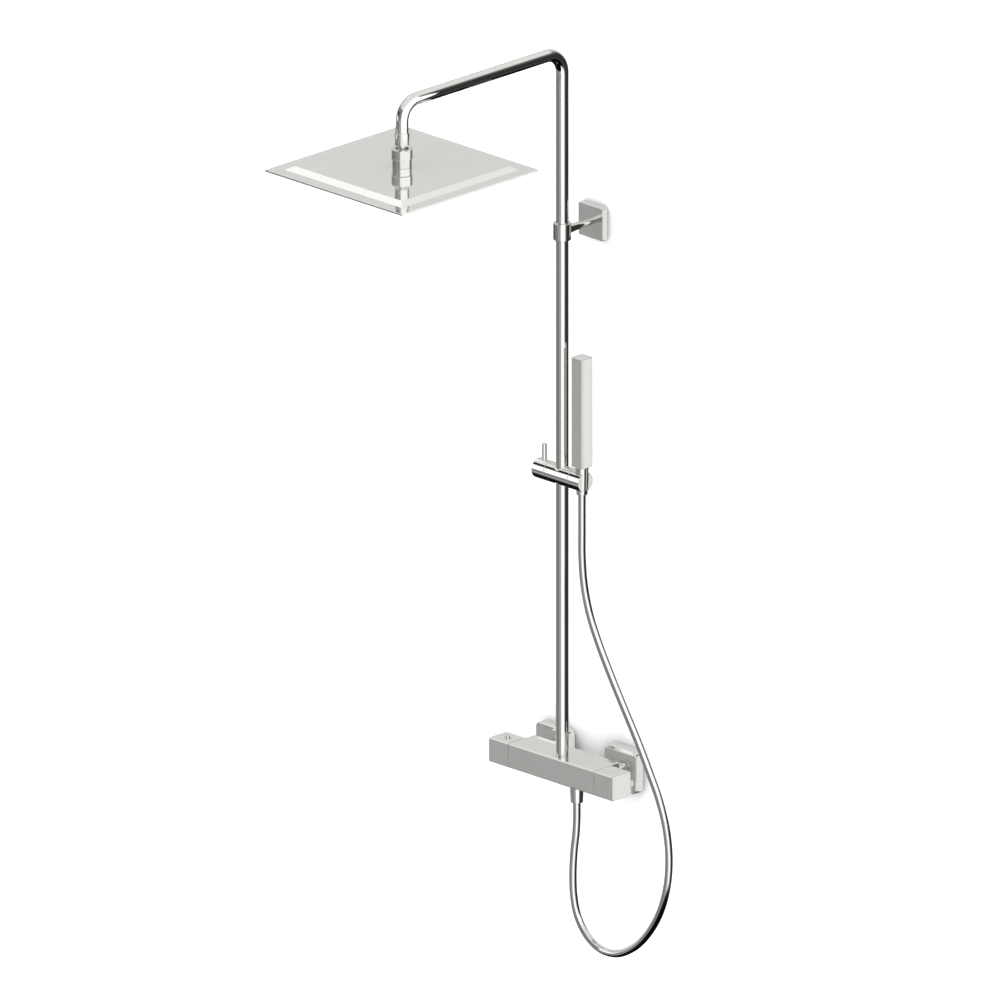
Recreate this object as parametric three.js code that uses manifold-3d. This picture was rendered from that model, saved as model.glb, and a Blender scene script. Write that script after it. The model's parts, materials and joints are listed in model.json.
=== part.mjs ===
// Exposed rainfall shower column: thermostatic bar mixer, riser with overhead arm, square rain
// head on a ball joint, height-adjustable slider, stick handset and hose.
// Millimetres. The origin is the centre of the upper wall bracket's back face, on the wall.
// +X runs to the right along the wall, +Y into the wall and +Z up.

import * as THREE from 'three';
import { mergeVertices } from 'three/addons/utils/BufferGeometryUtils.js';
import Module from 'manifold-3d';

const wasm = await Module();
wasm.setup();

// ---------------------------------------------------------------- driving dimensions

const CLEARANCE = 0.3;            // gap that neighbouring pieces keep
const CUT = 1;                    // how far a cutting tool runs past the face that it opens
const ROUND = 20;                 // sides of a visible round piece
const SMALL_ROUND = 10;           // sides of a small or hidden round piece
const HEXAGON = 6;

const WALL_TO_RISER = 73;
const RISER_DIAMETER = 20;
const RISER_BORE = 17;

const MIXER_TOP = -857;
const MIXER_SIDE = 40;
const BODY_BACK = 33;             // the body reaches further back than the knobs do
const MIXER_EDGE = 2;
const KNOB_GAP = 0.8;             // between the body's ends and the knobs
const MIXER_AXIS_Z = MIXER_TOP - MIXER_SIDE / 2;
const BODY_LEFT = -98.5;
const BODY_RIGHT = 89.5;
const TEMPERATURE_KNOB_LENGTH = 42;
const FLOW_KNOB_LENGTH = 40;
const INLET_LEFT = -79.5;
const INLET_SPACING = 150;
const HOSE_OUTLET_X = 32;

const ARM_REACH = 350;
const ARM_AXIS_Z = 294;
const RISER_BEND = 35;
const ARM_BEND = 30;
const ARM_TUBE_END = 232;

const HEAD_SIDE = 300;
const HEAD_RIM = 21;
const HEAD_CHAMFER = 12;
const HEAD_BOTTOM = 182;
const HEAD_RIM_TOP = 185;
const HEAD_PLATEAU = 191;
const HEAD_SHEET = 1.5;
const BALL_RADIUS = 9.5;
const BALL_CENTRE = 212;

const RING_DIAMETER = 28;
const RING_HEIGHT = 27;
const BRACKET_ROSETTE = 53;
const BRACKET_ROSETTE_DEPTH = 11;
const INLET_ROSETTE = 69;
const INLET_ROSETTE_DEPTH = 17;

const SLIDER_AXIS_Z = -399;
const SLIDER_DIAMETER = 32;
const SLIDER_SPLIT = 26;          // half width of the middle part, between knob and holder
const LOCK_END = -52;
const HOLDER_END = 51;
const LEVER_X = -39;
const LEVER_HEIGHT = 26.5;

const HANDSET_X = 43.2;
const HANDSET_SIDE = 24;
const HANDSET_BASE = 24;          // heights on the handset are above the slider's axis
const HANDSET_TOP = 203.5;
const CONE_BOTTOM = -21;
const CONE_BOTTOM_RADIUS = 8.75;
const CONE_TOP_RADIUS = 10.5;

const HOSE_DIAMETER = 12;
const HOSE_SIDES = 8;
const HOSE_STEPS = 48;
const HOSE_NUT_BOTTOM = -48.5;    // below the mixer's axis

// ---------------------------------------------------------------- finishes

const FINISHES = {
  chrome: { color: 0xd4d7d6, metalness: 1.0, roughness: 0.08 },
  brass: { color: 0xc8a45a, metalness: 1.0, roughness: 0.35 },
  steel: { color: 0xa9abac, metalness: 1.0, roughness: 0.3 },
  hose: { color: 0xc9cccb, metalness: 0.6, roughness: 0.3 },
  rubber: { color: 0x1f1f20, metalness: 0.0, roughness: 0.8 },
  silicone: { color: 0x8d9193, metalness: 0.0, roughness: 0.6 },
  plastic: { color: 0xe6e6e2, metalness: 0.0, roughness: 0.45 },
};

// ---------------------------------------------------------------- solids

function signedVolume(vertices, triangles) {
  const [a, b, c] = [new THREE.Vector3(), new THREE.Vector3(), new THREE.Vector3()];
  let volume = 0;
  for (let i = 0; i < triangles.length; i += 3) {
    a.fromArray(vertices, 3 * triangles[i]);
    b.fromArray(vertices, 3 * triangles[i + 1]);
    c.fromArray(vertices, 3 * triangles[i + 2]);
    volume += a.dot(b.cross(c)) / 6;
  }
  return volume;
}

// Welds a closed geometry's shared corners, drops the empty triangles on a lathe's axis and
// turns the faces outward.
function solid(geometry) {
  geometry.deleteAttribute('normal');
  geometry.deleteAttribute('uv');
  const welded = mergeVertices(geometry, 1e-3);
  const vertices = Float32Array.from(welded.getAttribute('position').array);
  const corners = welded.index.array;
  const triangles = [];
  for (let i = 0; i < corners.length; i += 3) {
    const [a, b, c] = [corners[i], corners[i + 1], corners[i + 2]];
    if (a !== b && b !== c && c !== a) triangles.push(a, b, c);
  }
  if (signedVolume(vertices, triangles) < 0) triangles.reverse();
  return new wasm.Manifold(new wasm.Mesh({
    numProp: 3,
    vertProperties: vertices,
    triVerts: Uint32Array.from(triangles),
  }));
}

// Turns a geometry made along +Y so that it runs along the named axis.
function along(axis, geometry) {
  if (axis === 'x') geometry.rotateZ(-Math.PI / 2);
  if (axis === 'z') geometry.rotateX(Math.PI / 2);
  return geometry;
}

function place(geometry, at) {
  return solid(geometry.translate(...at));
}

function bar(axis, diameter, start, end, at = [0, 0, 0], sides = ROUND) {
  const geometry = new THREE.CylinderGeometry(diameter / 2, diameter / 2, end - start, sides);
  geometry.translate(0, (start + end) / 2, 0);
  return place(along(axis, geometry), at);
}

// A turned piece. The outline is [radius, station along the axis] pairs.
function turned(axis, outline, at = [0, 0, 0], sides = ROUND) {
  const points = outline.map(([radius, station]) => new THREE.Vector2(radius, station));
  return place(along(axis, new THREE.LatheGeometry(points, sides)), at);
}

function tube(axis, outer, inner, start, end, at = [0, 0, 0], sides = ROUND) {
  const outline = [[inner / 2, start], [outer / 2, start], [outer / 2, end], [inner / 2, end],
    [inner / 2, start]];
  return turned(axis, outline, at, sides);
}

function block(low, high) {
  const size = high.map((value, i) => value - low[i]);
  const middle = high.map((value, i) => (value + low[i]) / 2);
  return place(new THREE.BoxGeometry(...size), middle);
}

// A bar of rectangular section along an axis. Its four long edges are chamfered, or rounded by
// an arc of several steps. The section's width and height run along the other two axes, in
// X, Y, Z order.
function prism(axis, [width, height], start, end, edge, at = [0, 0, 0], steps = 1) {
  const shape = new THREE.Shape();
  const signs = [[1, 1], [-1, 1], [-1, -1], [1, -1]];
  signs.forEach(([signX, signY], corner) => {
    for (let step = 0; step <= steps; step += 1) {
      const angle = (corner + step / steps) * Math.PI / 2;
      const x = signX * (width / 2 - edge) + edge * Math.cos(angle);
      const y = signY * (height / 2 - edge) + edge * Math.sin(angle);
      if (corner + step === 0) shape.moveTo(x, y);
      else shape.lineTo(x, y);
    }
  });
  const geometry = new THREE.ExtrudeGeometry(shape, { depth: end - start, bevelEnabled: false });
  geometry.translate(0, 0, start).rotateX(-Math.PI / 2);
  return place(along(axis, geometry), at);
}

function squareBar(axis, side, start, end, edge, at = [0, 0, 0], steps = 1) {
  return prism(axis, [side, side], start, end, edge, at, steps);
}

function joined(first, ...others) {
  return others.reduce((whole, piece) => whole.add(piece), first);
}

function cut(whole, ...tools) {
  return tools.reduce((rest, tool) => rest.subtract(tool), whole);
}

// A path given as stations with a point and a direction each, so that straight stretches take
// one step and bends take several.
class StationPath extends THREE.Curve {
  constructor(stations) {
    super();
    this.stations = stations;
  }

  nearest(u) {
    return this.stations[Math.round(u * (this.stations.length - 1))];
  }

  getPointAt(u) {
    return this.nearest(u).point.clone();
  }

  getTangentAt(u) {
    return this.nearest(u).direction.clone();
  }
}

function circleShape(radius, sides) {
  const shape = new THREE.Shape();
  for (let i = 0; i < sides; i += 1) {
    const angle = (i / sides) * 2 * Math.PI;
    const point = [radius * Math.cos(angle), radius * Math.sin(angle)];
    if (i === 0) shape.moveTo(...point);
    else shape.lineTo(...point);
  }
  return shape;
}

// ---------------------------------------------------------------- the scene graph

const column = new THREE.Group();

function assembly(x, y, z) {
  const group = new THREE.Group();
  group.position.set(x, y, z);
  column.add(group);
  return group;
}

function addPart(group, name, piece, finish) {
  const mesh = piece.getMesh();
  const geometry = new THREE.BufferGeometry();
  geometry.setAttribute('position', new THREE.BufferAttribute(mesh.vertProperties, 3));
  geometry.setIndex(new THREE.BufferAttribute(mesh.triVerts, 1));
  const part = new THREE.Mesh(geometry, new THREE.MeshStandardMaterial(FINISHES[finish]));
  part.name = name;
  group.add(part);
}

function grubScrew(axis, diameter, start, end, at, socketAt) {
  const socketDepth = 1.8;
  const low = socketAt === 'low' ? start - CUT : end - socketDepth;
  const high = socketAt === 'low' ? start + socketDepth : end + CUT;
  const socket = bar(axis, diameter * 0.55, low, high, at, HEXAGON);
  return cut(bar(axis, diameter, start, end, at, SMALL_ROUND), socket);
}

// ---------------------------------------------------------------- upper wall bracket

function buildWallBracket() {
  const bracket = assembly(0, 0, 0);
  const riserAt = [0, -WALL_TO_RISER, 0];
  const plateSide = 42;
  const plateThickness = 3;
  const bossDiameter = 16;
  const bossFront = -8.5;
  const rodNeck = 9;
  const socket = rodNeck + 2 * CLEARANCE;
  const grubStation = -6;
  const screwOffset = 14;
  const sheet = 2;

  const plate = joined(
    squareBar('y', plateSide, -plateThickness, 0, 3, [0, 0, 0], 3),
    bar('y', bossDiameter, bossFront, -plateThickness + CUT),
  );
  addPart(bracket, 'upper_wall_plate', cut(
    plate,
    bar('y', socket, bossFront - CUT, -plateThickness),
    bar('z', 3.6, -bossDiameter, 0, [0, grubStation, 0], SMALL_ROUND),
    bar('y', 5, -plateThickness - CUT, CUT, [-screwOffset, 0, 0], SMALL_ROUND),
    bar('y', 5, -plateThickness - CUT, CUT, [screwOffset, 0, 0], SMALL_ROUND),
  ), 'steel');
  addPart(bracket, 'plate_grub_screw',
    grubScrew('z', 3, -7.9, -4.9, [0, grubStation, 0], 'low'), 'steel');

  const screwSeat = -plateThickness - CLEARANCE;
  const screwTop = screwSeat - 2.4;
  const screwRim = screwSeat - 1;
  const screwRadius = 2.1;
  const screwHeadRadius = 4.2;
  const [screwTaper, screwTip] = [26, 32];
  const screwOutline = [[0, screwTop], [2.6, screwTop], [screwHeadRadius, screwRim],
    [screwHeadRadius, screwSeat], [screwRadius, screwSeat], [screwRadius, screwTaper],
    [0, screwTip]];
  for (const [side, sign] of [['left', -1], ['right', 1]]) {
    const slot = block([sign * screwOffset - 2, -7, -0.5], [sign * screwOffset + 2, -4.7, 0.5]);
    const screw = turned('y', screwOutline, [sign * screwOffset, 0, 0], SMALL_ROUND);
    addPart(bracket, `wall_screw_${side}`, cut(screw, slot), 'steel');
  }

  const cavity = squareBar('y', BRACKET_ROSETTE - 2 * sheet, sheet - BRACKET_ROSETTE_DEPTH, CUT,
    1, [0, 0, 0], 3);
  addPart(bracket, 'upper_rosette', cut(
    squareBar('y', BRACKET_ROSETTE, -BRACKET_ROSETTE_DEPTH, 0, 2.5, [0, 0, 0], 3),
    cavity,
    bar('y', socket, -BRACKET_ROSETTE_DEPTH - CUT, 0),
  ), 'chrome');

  // The rod flares like a trumpet from the rosette to the ring, whose round it is saddled to.
  const ringBack = -WALL_TO_RISER + RING_DIAMETER / 2;
  const rodOutline = [[0, -plateThickness - CLEARANCE], [rodNeck / 2, -plateThickness - CLEARANCE]];
  const flareSteps = 6;
  const flareStart = -BRACKET_ROSETTE_DEPTH - 4;
  const flareRadius = 7.5;
  const flarePower = 1.4;
  for (let step = 0; step <= flareSteps; step += 1) {
    const share = step / flareSteps;
    const radius = rodNeck / 2 + (flareRadius - rodNeck / 2) * share ** flarePower;
    rodOutline.push([radius, flareStart + (ringBack - flareStart) * share]);
  }
  const rodEnd = ringBack - 4;
  rodOutline.push([flareRadius, rodEnd], [0, rodEnd]);
  const ringScrewHole = 5.2;
  const ringScrewDepth = -45;
  addPart(bracket, 'bracket_rod', cut(
    turned('y', rodOutline),
    bar('z', RING_DIAMETER + 2 * CLEARANCE, -RING_HEIGHT, RING_HEIGHT, riserAt),
    bar('y', ringScrewHole, rodEnd, ringScrewDepth, [0, 0, 0], SMALL_ROUND),
  ), 'chrome');

  // One screw holds the ring to the rod from inside the ring's bore, and a grub screw at the
  // ring's left holds the riser.
  const ringBore = RISER_DIAMETER + 2 * CLEARANCE;
  const headSeat = -60;
  const headTop = headSeat - 2.4;
  const headHole = 8.6;
  const grubDiameter = 4;
  addPart(bracket, 'clamp_ring', cut(
    tube('z', RING_DIAMETER, ringBore, -RING_HEIGHT / 2, RING_HEIGHT / 2, riserAt),
    bar('y', headHole, headSeat - 4, headSeat, [0, 0, 0], SMALL_ROUND),
    bar('y', ringScrewHole, headSeat - CUT, ringBack + CUT, [0, 0, 0], SMALL_ROUND),
    bar('x', grubDiameter + 2 * CLEARANCE, -RING_DIAMETER, 0, riserAt, SMALL_ROUND),
  ), 'chrome');
  const shank = ringScrewHole / 2 - CLEARANCE;
  const ringScrew = [[0, headTop], [4, headTop], [shank, headSeat - CLEARANCE],
    [shank, ringScrewDepth - 2], [0, ringScrewDepth - 1]];
  addPart(bracket, 'ring_screw', turned('y', ringScrew, [0, 0, 0], SMALL_ROUND), 'steel');
  const grubOuter = 0.1 - RING_DIAMETER / 2;
  const grubInner = -RISER_DIAMETER / 2 - CLEARANCE;
  addPart(bracket, 'ring_grub_screw',
    grubScrew('x', grubDiameter, grubOuter, grubInner, riserAt, 'low'), 'steel');
}

// ---------------------------------------------------------------- riser and overhead arm

function bend(centre, radius, from, to, steps) {
  const stations = [];
  for (let i = 0; i <= steps; i += 1) {
    const angle = from + (to - from) * (i / steps);
    const turn = Math.sign(to - from);
    stations.push({
      point: new THREE.Vector3(0, centre[0] + radius * Math.cos(angle),
        centre[1] + radius * Math.sin(angle)),
      direction: new THREE.Vector3(0, -turn * Math.sin(angle), turn * Math.cos(angle)),
    });
  }
  return stations;
}

function buildRiser() {
  const riser = assembly(0, -WALL_TO_RISER, 0);
  const jointGap = 0.2;
  addPart(riser, 'lower_riser',
    tube('z', RISER_DIAMETER, RISER_BORE, MIXER_TOP + CLEARANCE, -jointGap), 'chrome');
  const sleeveHalf = 30;
  const sleeveBore = 13;
  addPart(riser, 'riser_joint_sleeve', tube('z', RISER_BORE - 2 * CLEARANCE, sleeveBore,
    -sleeveHalf, sleeveHalf, [0, 0, 0], SMALL_ROUND), 'brass');

  const bendSteps = 5;
  const down = new THREE.Vector3(0, 0, -1);
  const up = new THREE.Vector3(0, 0, 1);
  const stations = [
    { point: new THREE.Vector3(0, 0, jointGap), direction: up },
    ...bend([-RISER_BEND, ARM_AXIS_Z - RISER_BEND], RISER_BEND, 0, Math.PI / 2, bendSteps),
    ...bend([ARM_BEND - ARM_REACH, ARM_AXIS_Z - ARM_BEND], ARM_BEND, Math.PI / 2, Math.PI,
      bendSteps),
    { point: new THREE.Vector3(0, -ARM_REACH, ARM_TUBE_END), direction: down },
  ];
  const section = circleShape(RISER_DIAMETER / 2, ROUND);
  section.holes.push(circleShape(RISER_BORE / 2, ROUND));
  const pipe = new THREE.ExtrudeGeometry(section, {
    steps: stations.length - 1,
    extrudePath: new StationPath(stations),
  });
  addPart(riser, 'upper_riser', solid(pipe), 'chrome');

  const nippleInside = 11 / 2;
  const nippleFoot = 8.1;
  const grooveRadius = 6.8;
  const nippleSeat = MIXER_TOP - 11.5;
  const grooveLow = MIXER_TOP + 15.5;
  const grooveHigh = MIXER_TOP + 18.5;
  const nippleTop = MIXER_TOP + 25;
  const nippleRadius = RISER_BORE / 2 - CLEARANCE;
  addPart(riser, 'riser_nipple', turned('z', [[nippleInside, nippleSeat],
    [nippleFoot, nippleSeat], [nippleFoot, MIXER_TOP], [nippleRadius, MIXER_TOP],
    [nippleRadius, grooveLow], [grooveRadius, grooveLow], [grooveRadius, grooveHigh],
    [nippleRadius, grooveHigh], [nippleRadius, nippleTop], [nippleInside, nippleTop],
    [nippleInside, nippleSeat]]), 'brass');
  const oRingInside = grooveRadius + CLEARANCE;
  const oRingOutside = nippleRadius;
  const oRingMiddle = (oRingInside + oRingOutside) / 2;
  const [oRingEnd, oRingShoulder] = [0.4, 0.9];
  addPart(riser, 'riser_o_ring', turned('z', [[oRingInside, grooveLow + oRingShoulder],
    [oRingMiddle, grooveLow + oRingEnd], [oRingOutside, grooveLow + oRingShoulder],
    [oRingOutside, grooveHigh - oRingShoulder], [oRingMiddle, grooveHigh - oRingEnd],
    [oRingInside, grooveHigh - oRingShoulder], [oRingInside, grooveLow + oRingShoulder]]),
  'rubber');
}

// ---------------------------------------------------------------- rain head

// A square frustum between two heights, given the half sides at both.
function frustum(lowHalf, low, highHalf, high) {
  const halfTurn = Math.PI / 4;
  const geometry = new THREE.CylinderGeometry(
    highHalf * Math.SQRT2,
    lowHalf * Math.SQRT2,
    high - low,
    4,
    1,
    false,
    halfTurn,
  );
  geometry.translate(0, (low + high) / 2, 0);
  return place(along('z', geometry), [0, 0, 0]);
}

function buildHead() {
  const head = assembly(0, -WALL_TO_RISER - ARM_REACH, 0);
  const sleeveDiameter = 23;
  const sleeveBottom = BALL_CENTRE + 14;
  const sleeveTop = BALL_CENTRE + 34;
  const stemDiameter = 11.4;
  const stemBore = 6;
  const stemTop = ARM_TUBE_END + 11;
  const socketRadius = BALL_RADIUS + CLEARANCE;
  const seatPlay = 0.15;
  const seatRadius = 11.7;
  const [seatLow, seatHigh] = [BALL_CENTRE - 6, BALL_CENTRE - 1];
  const seatSteps = 3;
  const cupRadius = seatRadius + 2 * CLEARANCE;
  const cupSteps = 4;

  addPart(head, 'arm_end_sleeve', cut(
    bar('z', sleeveDiameter, sleeveBottom, sleeveTop),
    bar('z', RISER_DIAMETER + 2 * CLEARANCE, ARM_TUBE_END - 0.5, sleeveTop + CUT),
    bar('z', stemDiameter + 2 * CLEARANCE, sleeveBottom - CUT, ARM_TUBE_END),
  ), 'chrome');

  const ball = new THREE.SphereGeometry(BALL_RADIUS, 16, 10);
  addPart(head, 'ball_stem', cut(
    joined(place(ball.rotateX(Math.PI / 2), [0, 0, BALL_CENTRE]),
      bar('z', stemDiameter, BALL_CENTRE, stemTop)),
    bar('z', stemBore, BALL_CENTRE - 2 * BALL_RADIUS, stemTop + CUT, [0, 0, 0], SMALL_ROUND),
  ), 'chrome');

  // The seat is a ring between two spheres about the ball's centre, so it can tilt on the ball
  // and the boss can tilt on it. The nut's lip holds the ball above its middle.
  const onSphere = (radius, height) => Math.sqrt(radius ** 2 - (height - BALL_CENTRE) ** 2);
  const onBall = (height) => onSphere(socketRadius, height) + seatPlay;
  const seatOutline = [];
  for (let step = 0; step <= seatSteps; step += 1) {
    const height = seatLow + (seatHigh - seatLow) * (step / seatSteps);
    seatOutline.unshift([onBall(height), height]);
    seatOutline.push([onSphere(seatRadius, height), height]);
  }
  seatOutline.push(seatOutline[0]);
  addPart(head, 'ball_seat_ring', turned('z', seatOutline), 'plastic');

  const bossTop = BALL_CENTRE - 8.3;
  const nutLow = bossTop + CLEARANCE;
  const nutHigh = BALL_CENTRE + 8;
  const lipLow = BALL_CENTRE + 2;
  const lipWaist = BALL_CENTRE + 4;
  const lipRadius = 10.4;
  const nutRadius = 17;
  const collarRadius = 14;
  const nutBore = collarRadius + CLEARANCE;
  const nutOutline = [[nutBore, nutLow], [nutRadius, nutLow], [nutRadius, nutHigh],
    [lipRadius, nutHigh], [onBall(lipWaist), lipWaist], [onBall(lipLow), lipLow],
    [nutBore, lipLow], [nutBore, nutLow]];
  addPart(head, 'swivel_nut', turned('z', nutOutline), 'chrome');

  const spigotLow = HEAD_PLATEAU - 3.5;
  const spigotRadius = 9;
  const waterway = 7;
  const bossBase = HEAD_PLATEAU + CLEARANCE;
  const bossRadius = 15.75;
  const collarTop = BALL_CENTRE + 1;
  const bossOutline = [[waterway, spigotLow], [spigotRadius, spigotLow], [spigotRadius, bossBase],
    [bossRadius, bossBase], [bossRadius, bossTop], [collarRadius, bossTop],
    [collarRadius, collarTop], [cupRadius, collarTop]];
  for (let step = 0; step <= cupSteps; step += 1) {
    const height = BALL_CENTRE + (bossTop - BALL_CENTRE) * (step / cupSteps);
    bossOutline.push([onSphere(cupRadius, height), height]);
  }
  bossOutline.push([waterway, bossTop], [waterway, spigotLow]);
  addPart(head, 'head_boss', turned('z', bossOutline), 'chrome');

  // Top shell: a flat rim, a chamfered rise and a raised plateau, folded from one sheet.
  const half = HEAD_SIDE / 2;
  const riseHalf = half - HEAD_RIM;
  const plateauHalf = riseHalf - HEAD_CHAMFER;
  const rimBottom = HEAD_RIM_TOP - HEAD_SHEET;
  const innerTop = HEAD_PLATEAU - HEAD_SHEET;
  addPart(head, 'head_top_plate', cut(
    joined(block([-half, -half, rimBottom], [half, half, HEAD_RIM_TOP]),
      frustum(riseHalf, HEAD_RIM_TOP - 0.5, plateauHalf, HEAD_PLATEAU)),
    frustum(riseHalf - 2, rimBottom - 0.5, plateauHalf - 2, innerTop),
    bar('z', 2 * (spigotRadius + CLEARANCE), rimBottom, HEAD_PLATEAU + CUT),
  ), 'chrome');
  const matHalf = riseHalf - 8;
  const matTop = rimBottom + 2.1;
  addPart(head, 'nozzle_mat', block([-matHalf, -matHalf, rimBottom], [matHalf, matHalf, matTop]),
    'silicone');
  addPart(head, 'head_face_plate',
    block([-half, -half, HEAD_BOTTOM], [half, half, rimBottom - CLEARANCE]), 'chrome');
}

// ---------------------------------------------------------------- mixer

// Everything at one end of the mixer bar. Stations are measured outward from the body's end
// face, and `out` is +1 at the right end and -1 at the left end.
function buildMixerEnd(mixer, end) {
  const { out, face } = end;
  const spanX = (from, to) => [face + out * from, face + out * to].sort((a, b) => a - b);
  const barX = (diameter, from, to, sides = ROUND) => {
    const [start, finish] = spanX(from, to);
    return bar('x', diameter, start, finish, [0, 0, 0], sides);
  };
  const knobHalf = MIXER_SIDE / 2;
  const sheet = 2.5;
  const spindle = 8;
  const hub = 16;
  const hubStart = 9;
  const socketEnd = 20;
  const screwStation = 13.5;

  const cartridgeShoulder = -35;
  const cartridgeInner = -54;
  const cartridgeNose = 6;
  const cartridge = joined(
    barX(26.4, cartridgeShoulder, -KNOB_GAP),
    barX(20, cartridgeInner, cartridgeShoulder + CUT),
    barX(18, -2 * CUT, cartridgeNose),
  );
  addPart(mixer, end.cartridge,
    cut(cartridge, barX(spindle + 2 * CLEARANCE, -27, cartridgeNose + CUT)), 'brass');

  const [ringStart, ringEnd] = spanX(0.8, 4.5);
  const [toothStart, toothEnd] = spanX(4, 7.5);
  addPart(mixer, end.stopRing, joined(
    tube('x', 32, 18.6, ringStart, ringEnd),
    block([toothStart, -3, 11], [toothEnd, 3, 15]),
  ), 'plastic');

  const splineFlat = block([spanX(15, 20)[0], 3, -5], [spanX(15, 20)[1], 5, 5]);
  addPart(mixer, end.spindle, cut(barX(spindle, -26, 19.5, SMALL_ROUND), splineFlat), 'brass');

  const [outerStart, outerEnd] = spanX(0, end.length);
  const [innerStart, innerEnd] = spanX(-CUT, end.length - 3);
  const shell = cut(
    squareBar('x', MIXER_SIDE, outerStart, outerEnd, MIXER_EDGE),
    squareBar('x', MIXER_SIDE - 2 * sheet, innerStart, innerEnd, MIXER_EDGE),
  );
  const screwAt = [face + out * screwStation, 0, 0];
  const knob = cut(
    joined(shell, barX(hub, hubStart, end.length - 2)),
    barX(spindle + 2 * CLEARANCE, hubStart - CUT, socketEnd, SMALL_ROUND),
    bar('z', 4.6, -knobHalf - CUT, -2, screwAt, SMALL_ROUND),
  );
  const screw = grubScrew('z', 4, -16, -spindle / 2 - CLEARANCE, screwAt, 'low');
  addPart(mixer, end.screw, screw, 'steel');
  return knob;
}

function springPath(centre, radius, low, high, turns) {
  const points = [];
  const stepsPerTurn = 8;
  for (let i = 0; i <= turns * stepsPerTurn; i += 1) {
    const angle = (i / stepsPerTurn) * 2 * Math.PI;
    const height = low + (high - low) * (i / (turns * stepsPerTurn));
    points.push(new THREE.Vector3(centre + radius * Math.cos(angle), radius * Math.sin(angle),
      height));
  }
  return new THREE.CatmullRomCurve3(points);
}

// The push button that lets the temperature go past its safe setting, with its spring.
function buildSafetyButton(mixer, x) {
  const top = MIXER_SIDE / 2 + 3.5;
  const flangeLow = 15.7;
  const flangeHigh = 17.2;
  const at = [x, 0, 0];
  const pinEnd = 12.5;
  const pinRadius = 2;
  const flangeRadius = 5.2;
  const buttonRadius = 4;
  const edge = 0.8;
  addPart(mixer, 'safety_button', turned('z', [[0, pinEnd], [pinRadius, pinEnd],
    [pinRadius, flangeLow], [flangeRadius, flangeLow], [flangeRadius, flangeHigh],
    [buttonRadius, flangeHigh], [buttonRadius, top - edge], [buttonRadius - edge, top], [0, top]],
  at), 'chrome');

  const wire = 0.8;
  const hubTop = 8;
  const path = springPath(x, 3.1, hubTop + wire, flangeLow - wire, 4);
  const coil = new THREE.ExtrudeGeometry(circleShape(wire / 2, 6), { steps: 36, extrudePath: path });
  addPart(mixer, 'button_spring', solid(coil), 'steel');
}

function buildInlet(mixer, x, side) {
  const at = [x, 0, 0];
  const wall = WALL_TO_RISER;
  const nutStart = BODY_BACK + 1;
  const nutEnd = BODY_BACK + 14;
  const flangeEnd = BODY_BACK + 6;
  addPart(mixer, `inlet_nut_${side}`, cut(
    bar('y', 26, nutStart, nutEnd, at),
    bar('y', 15.6, nutStart - CUT, nutEnd, at),
    bar('y', 21, nutStart + 2.5, nutEnd + CUT, at),
  ), 'chrome');
  const filterEnd = flangeEnd + 1.8;
  addPart(mixer, `inlet_filter_${side}`,
    tube('y', 19, 11, flangeEnd + CLEARANCE, filterEnd, at, SMALL_ROUND), 'rubber');
  const bore = 6.5;
  const neck = 10;
  const wallThread = 10.45;
  const threadStart = filterEnd + CLEARANCE;
  const sheet = 2;
  const front = wall - INLET_ROSETTE_DEPTH;
  const wallThreadStart = front + 2 * sheet;
  const wallThreadEnd = wall + 15;
  addPart(mixer, `inlet_union_${side}`, turned('y', [[bore, threadStart], [neck, threadStart],
    [neck, wallThreadStart], [wallThread, wallThreadStart], [wallThread, wallThreadEnd],
    [bore, wallThreadEnd], [bore, threadStart]], at), 'chrome');
  addPart(mixer, `inlet_rosette_${side}`, cut(
    squareBar('y', INLET_ROSETTE, front, wall, 9, at, 5),
    squareBar('y', INLET_ROSETTE - 2 * sheet, front + sheet, wall + CUT, 7, at, 5),
    bar('y', 2 * neck + 2 * CLEARANCE, front - CUT, front + sheet + CUT, at),
  ), 'chrome');
}

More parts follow.
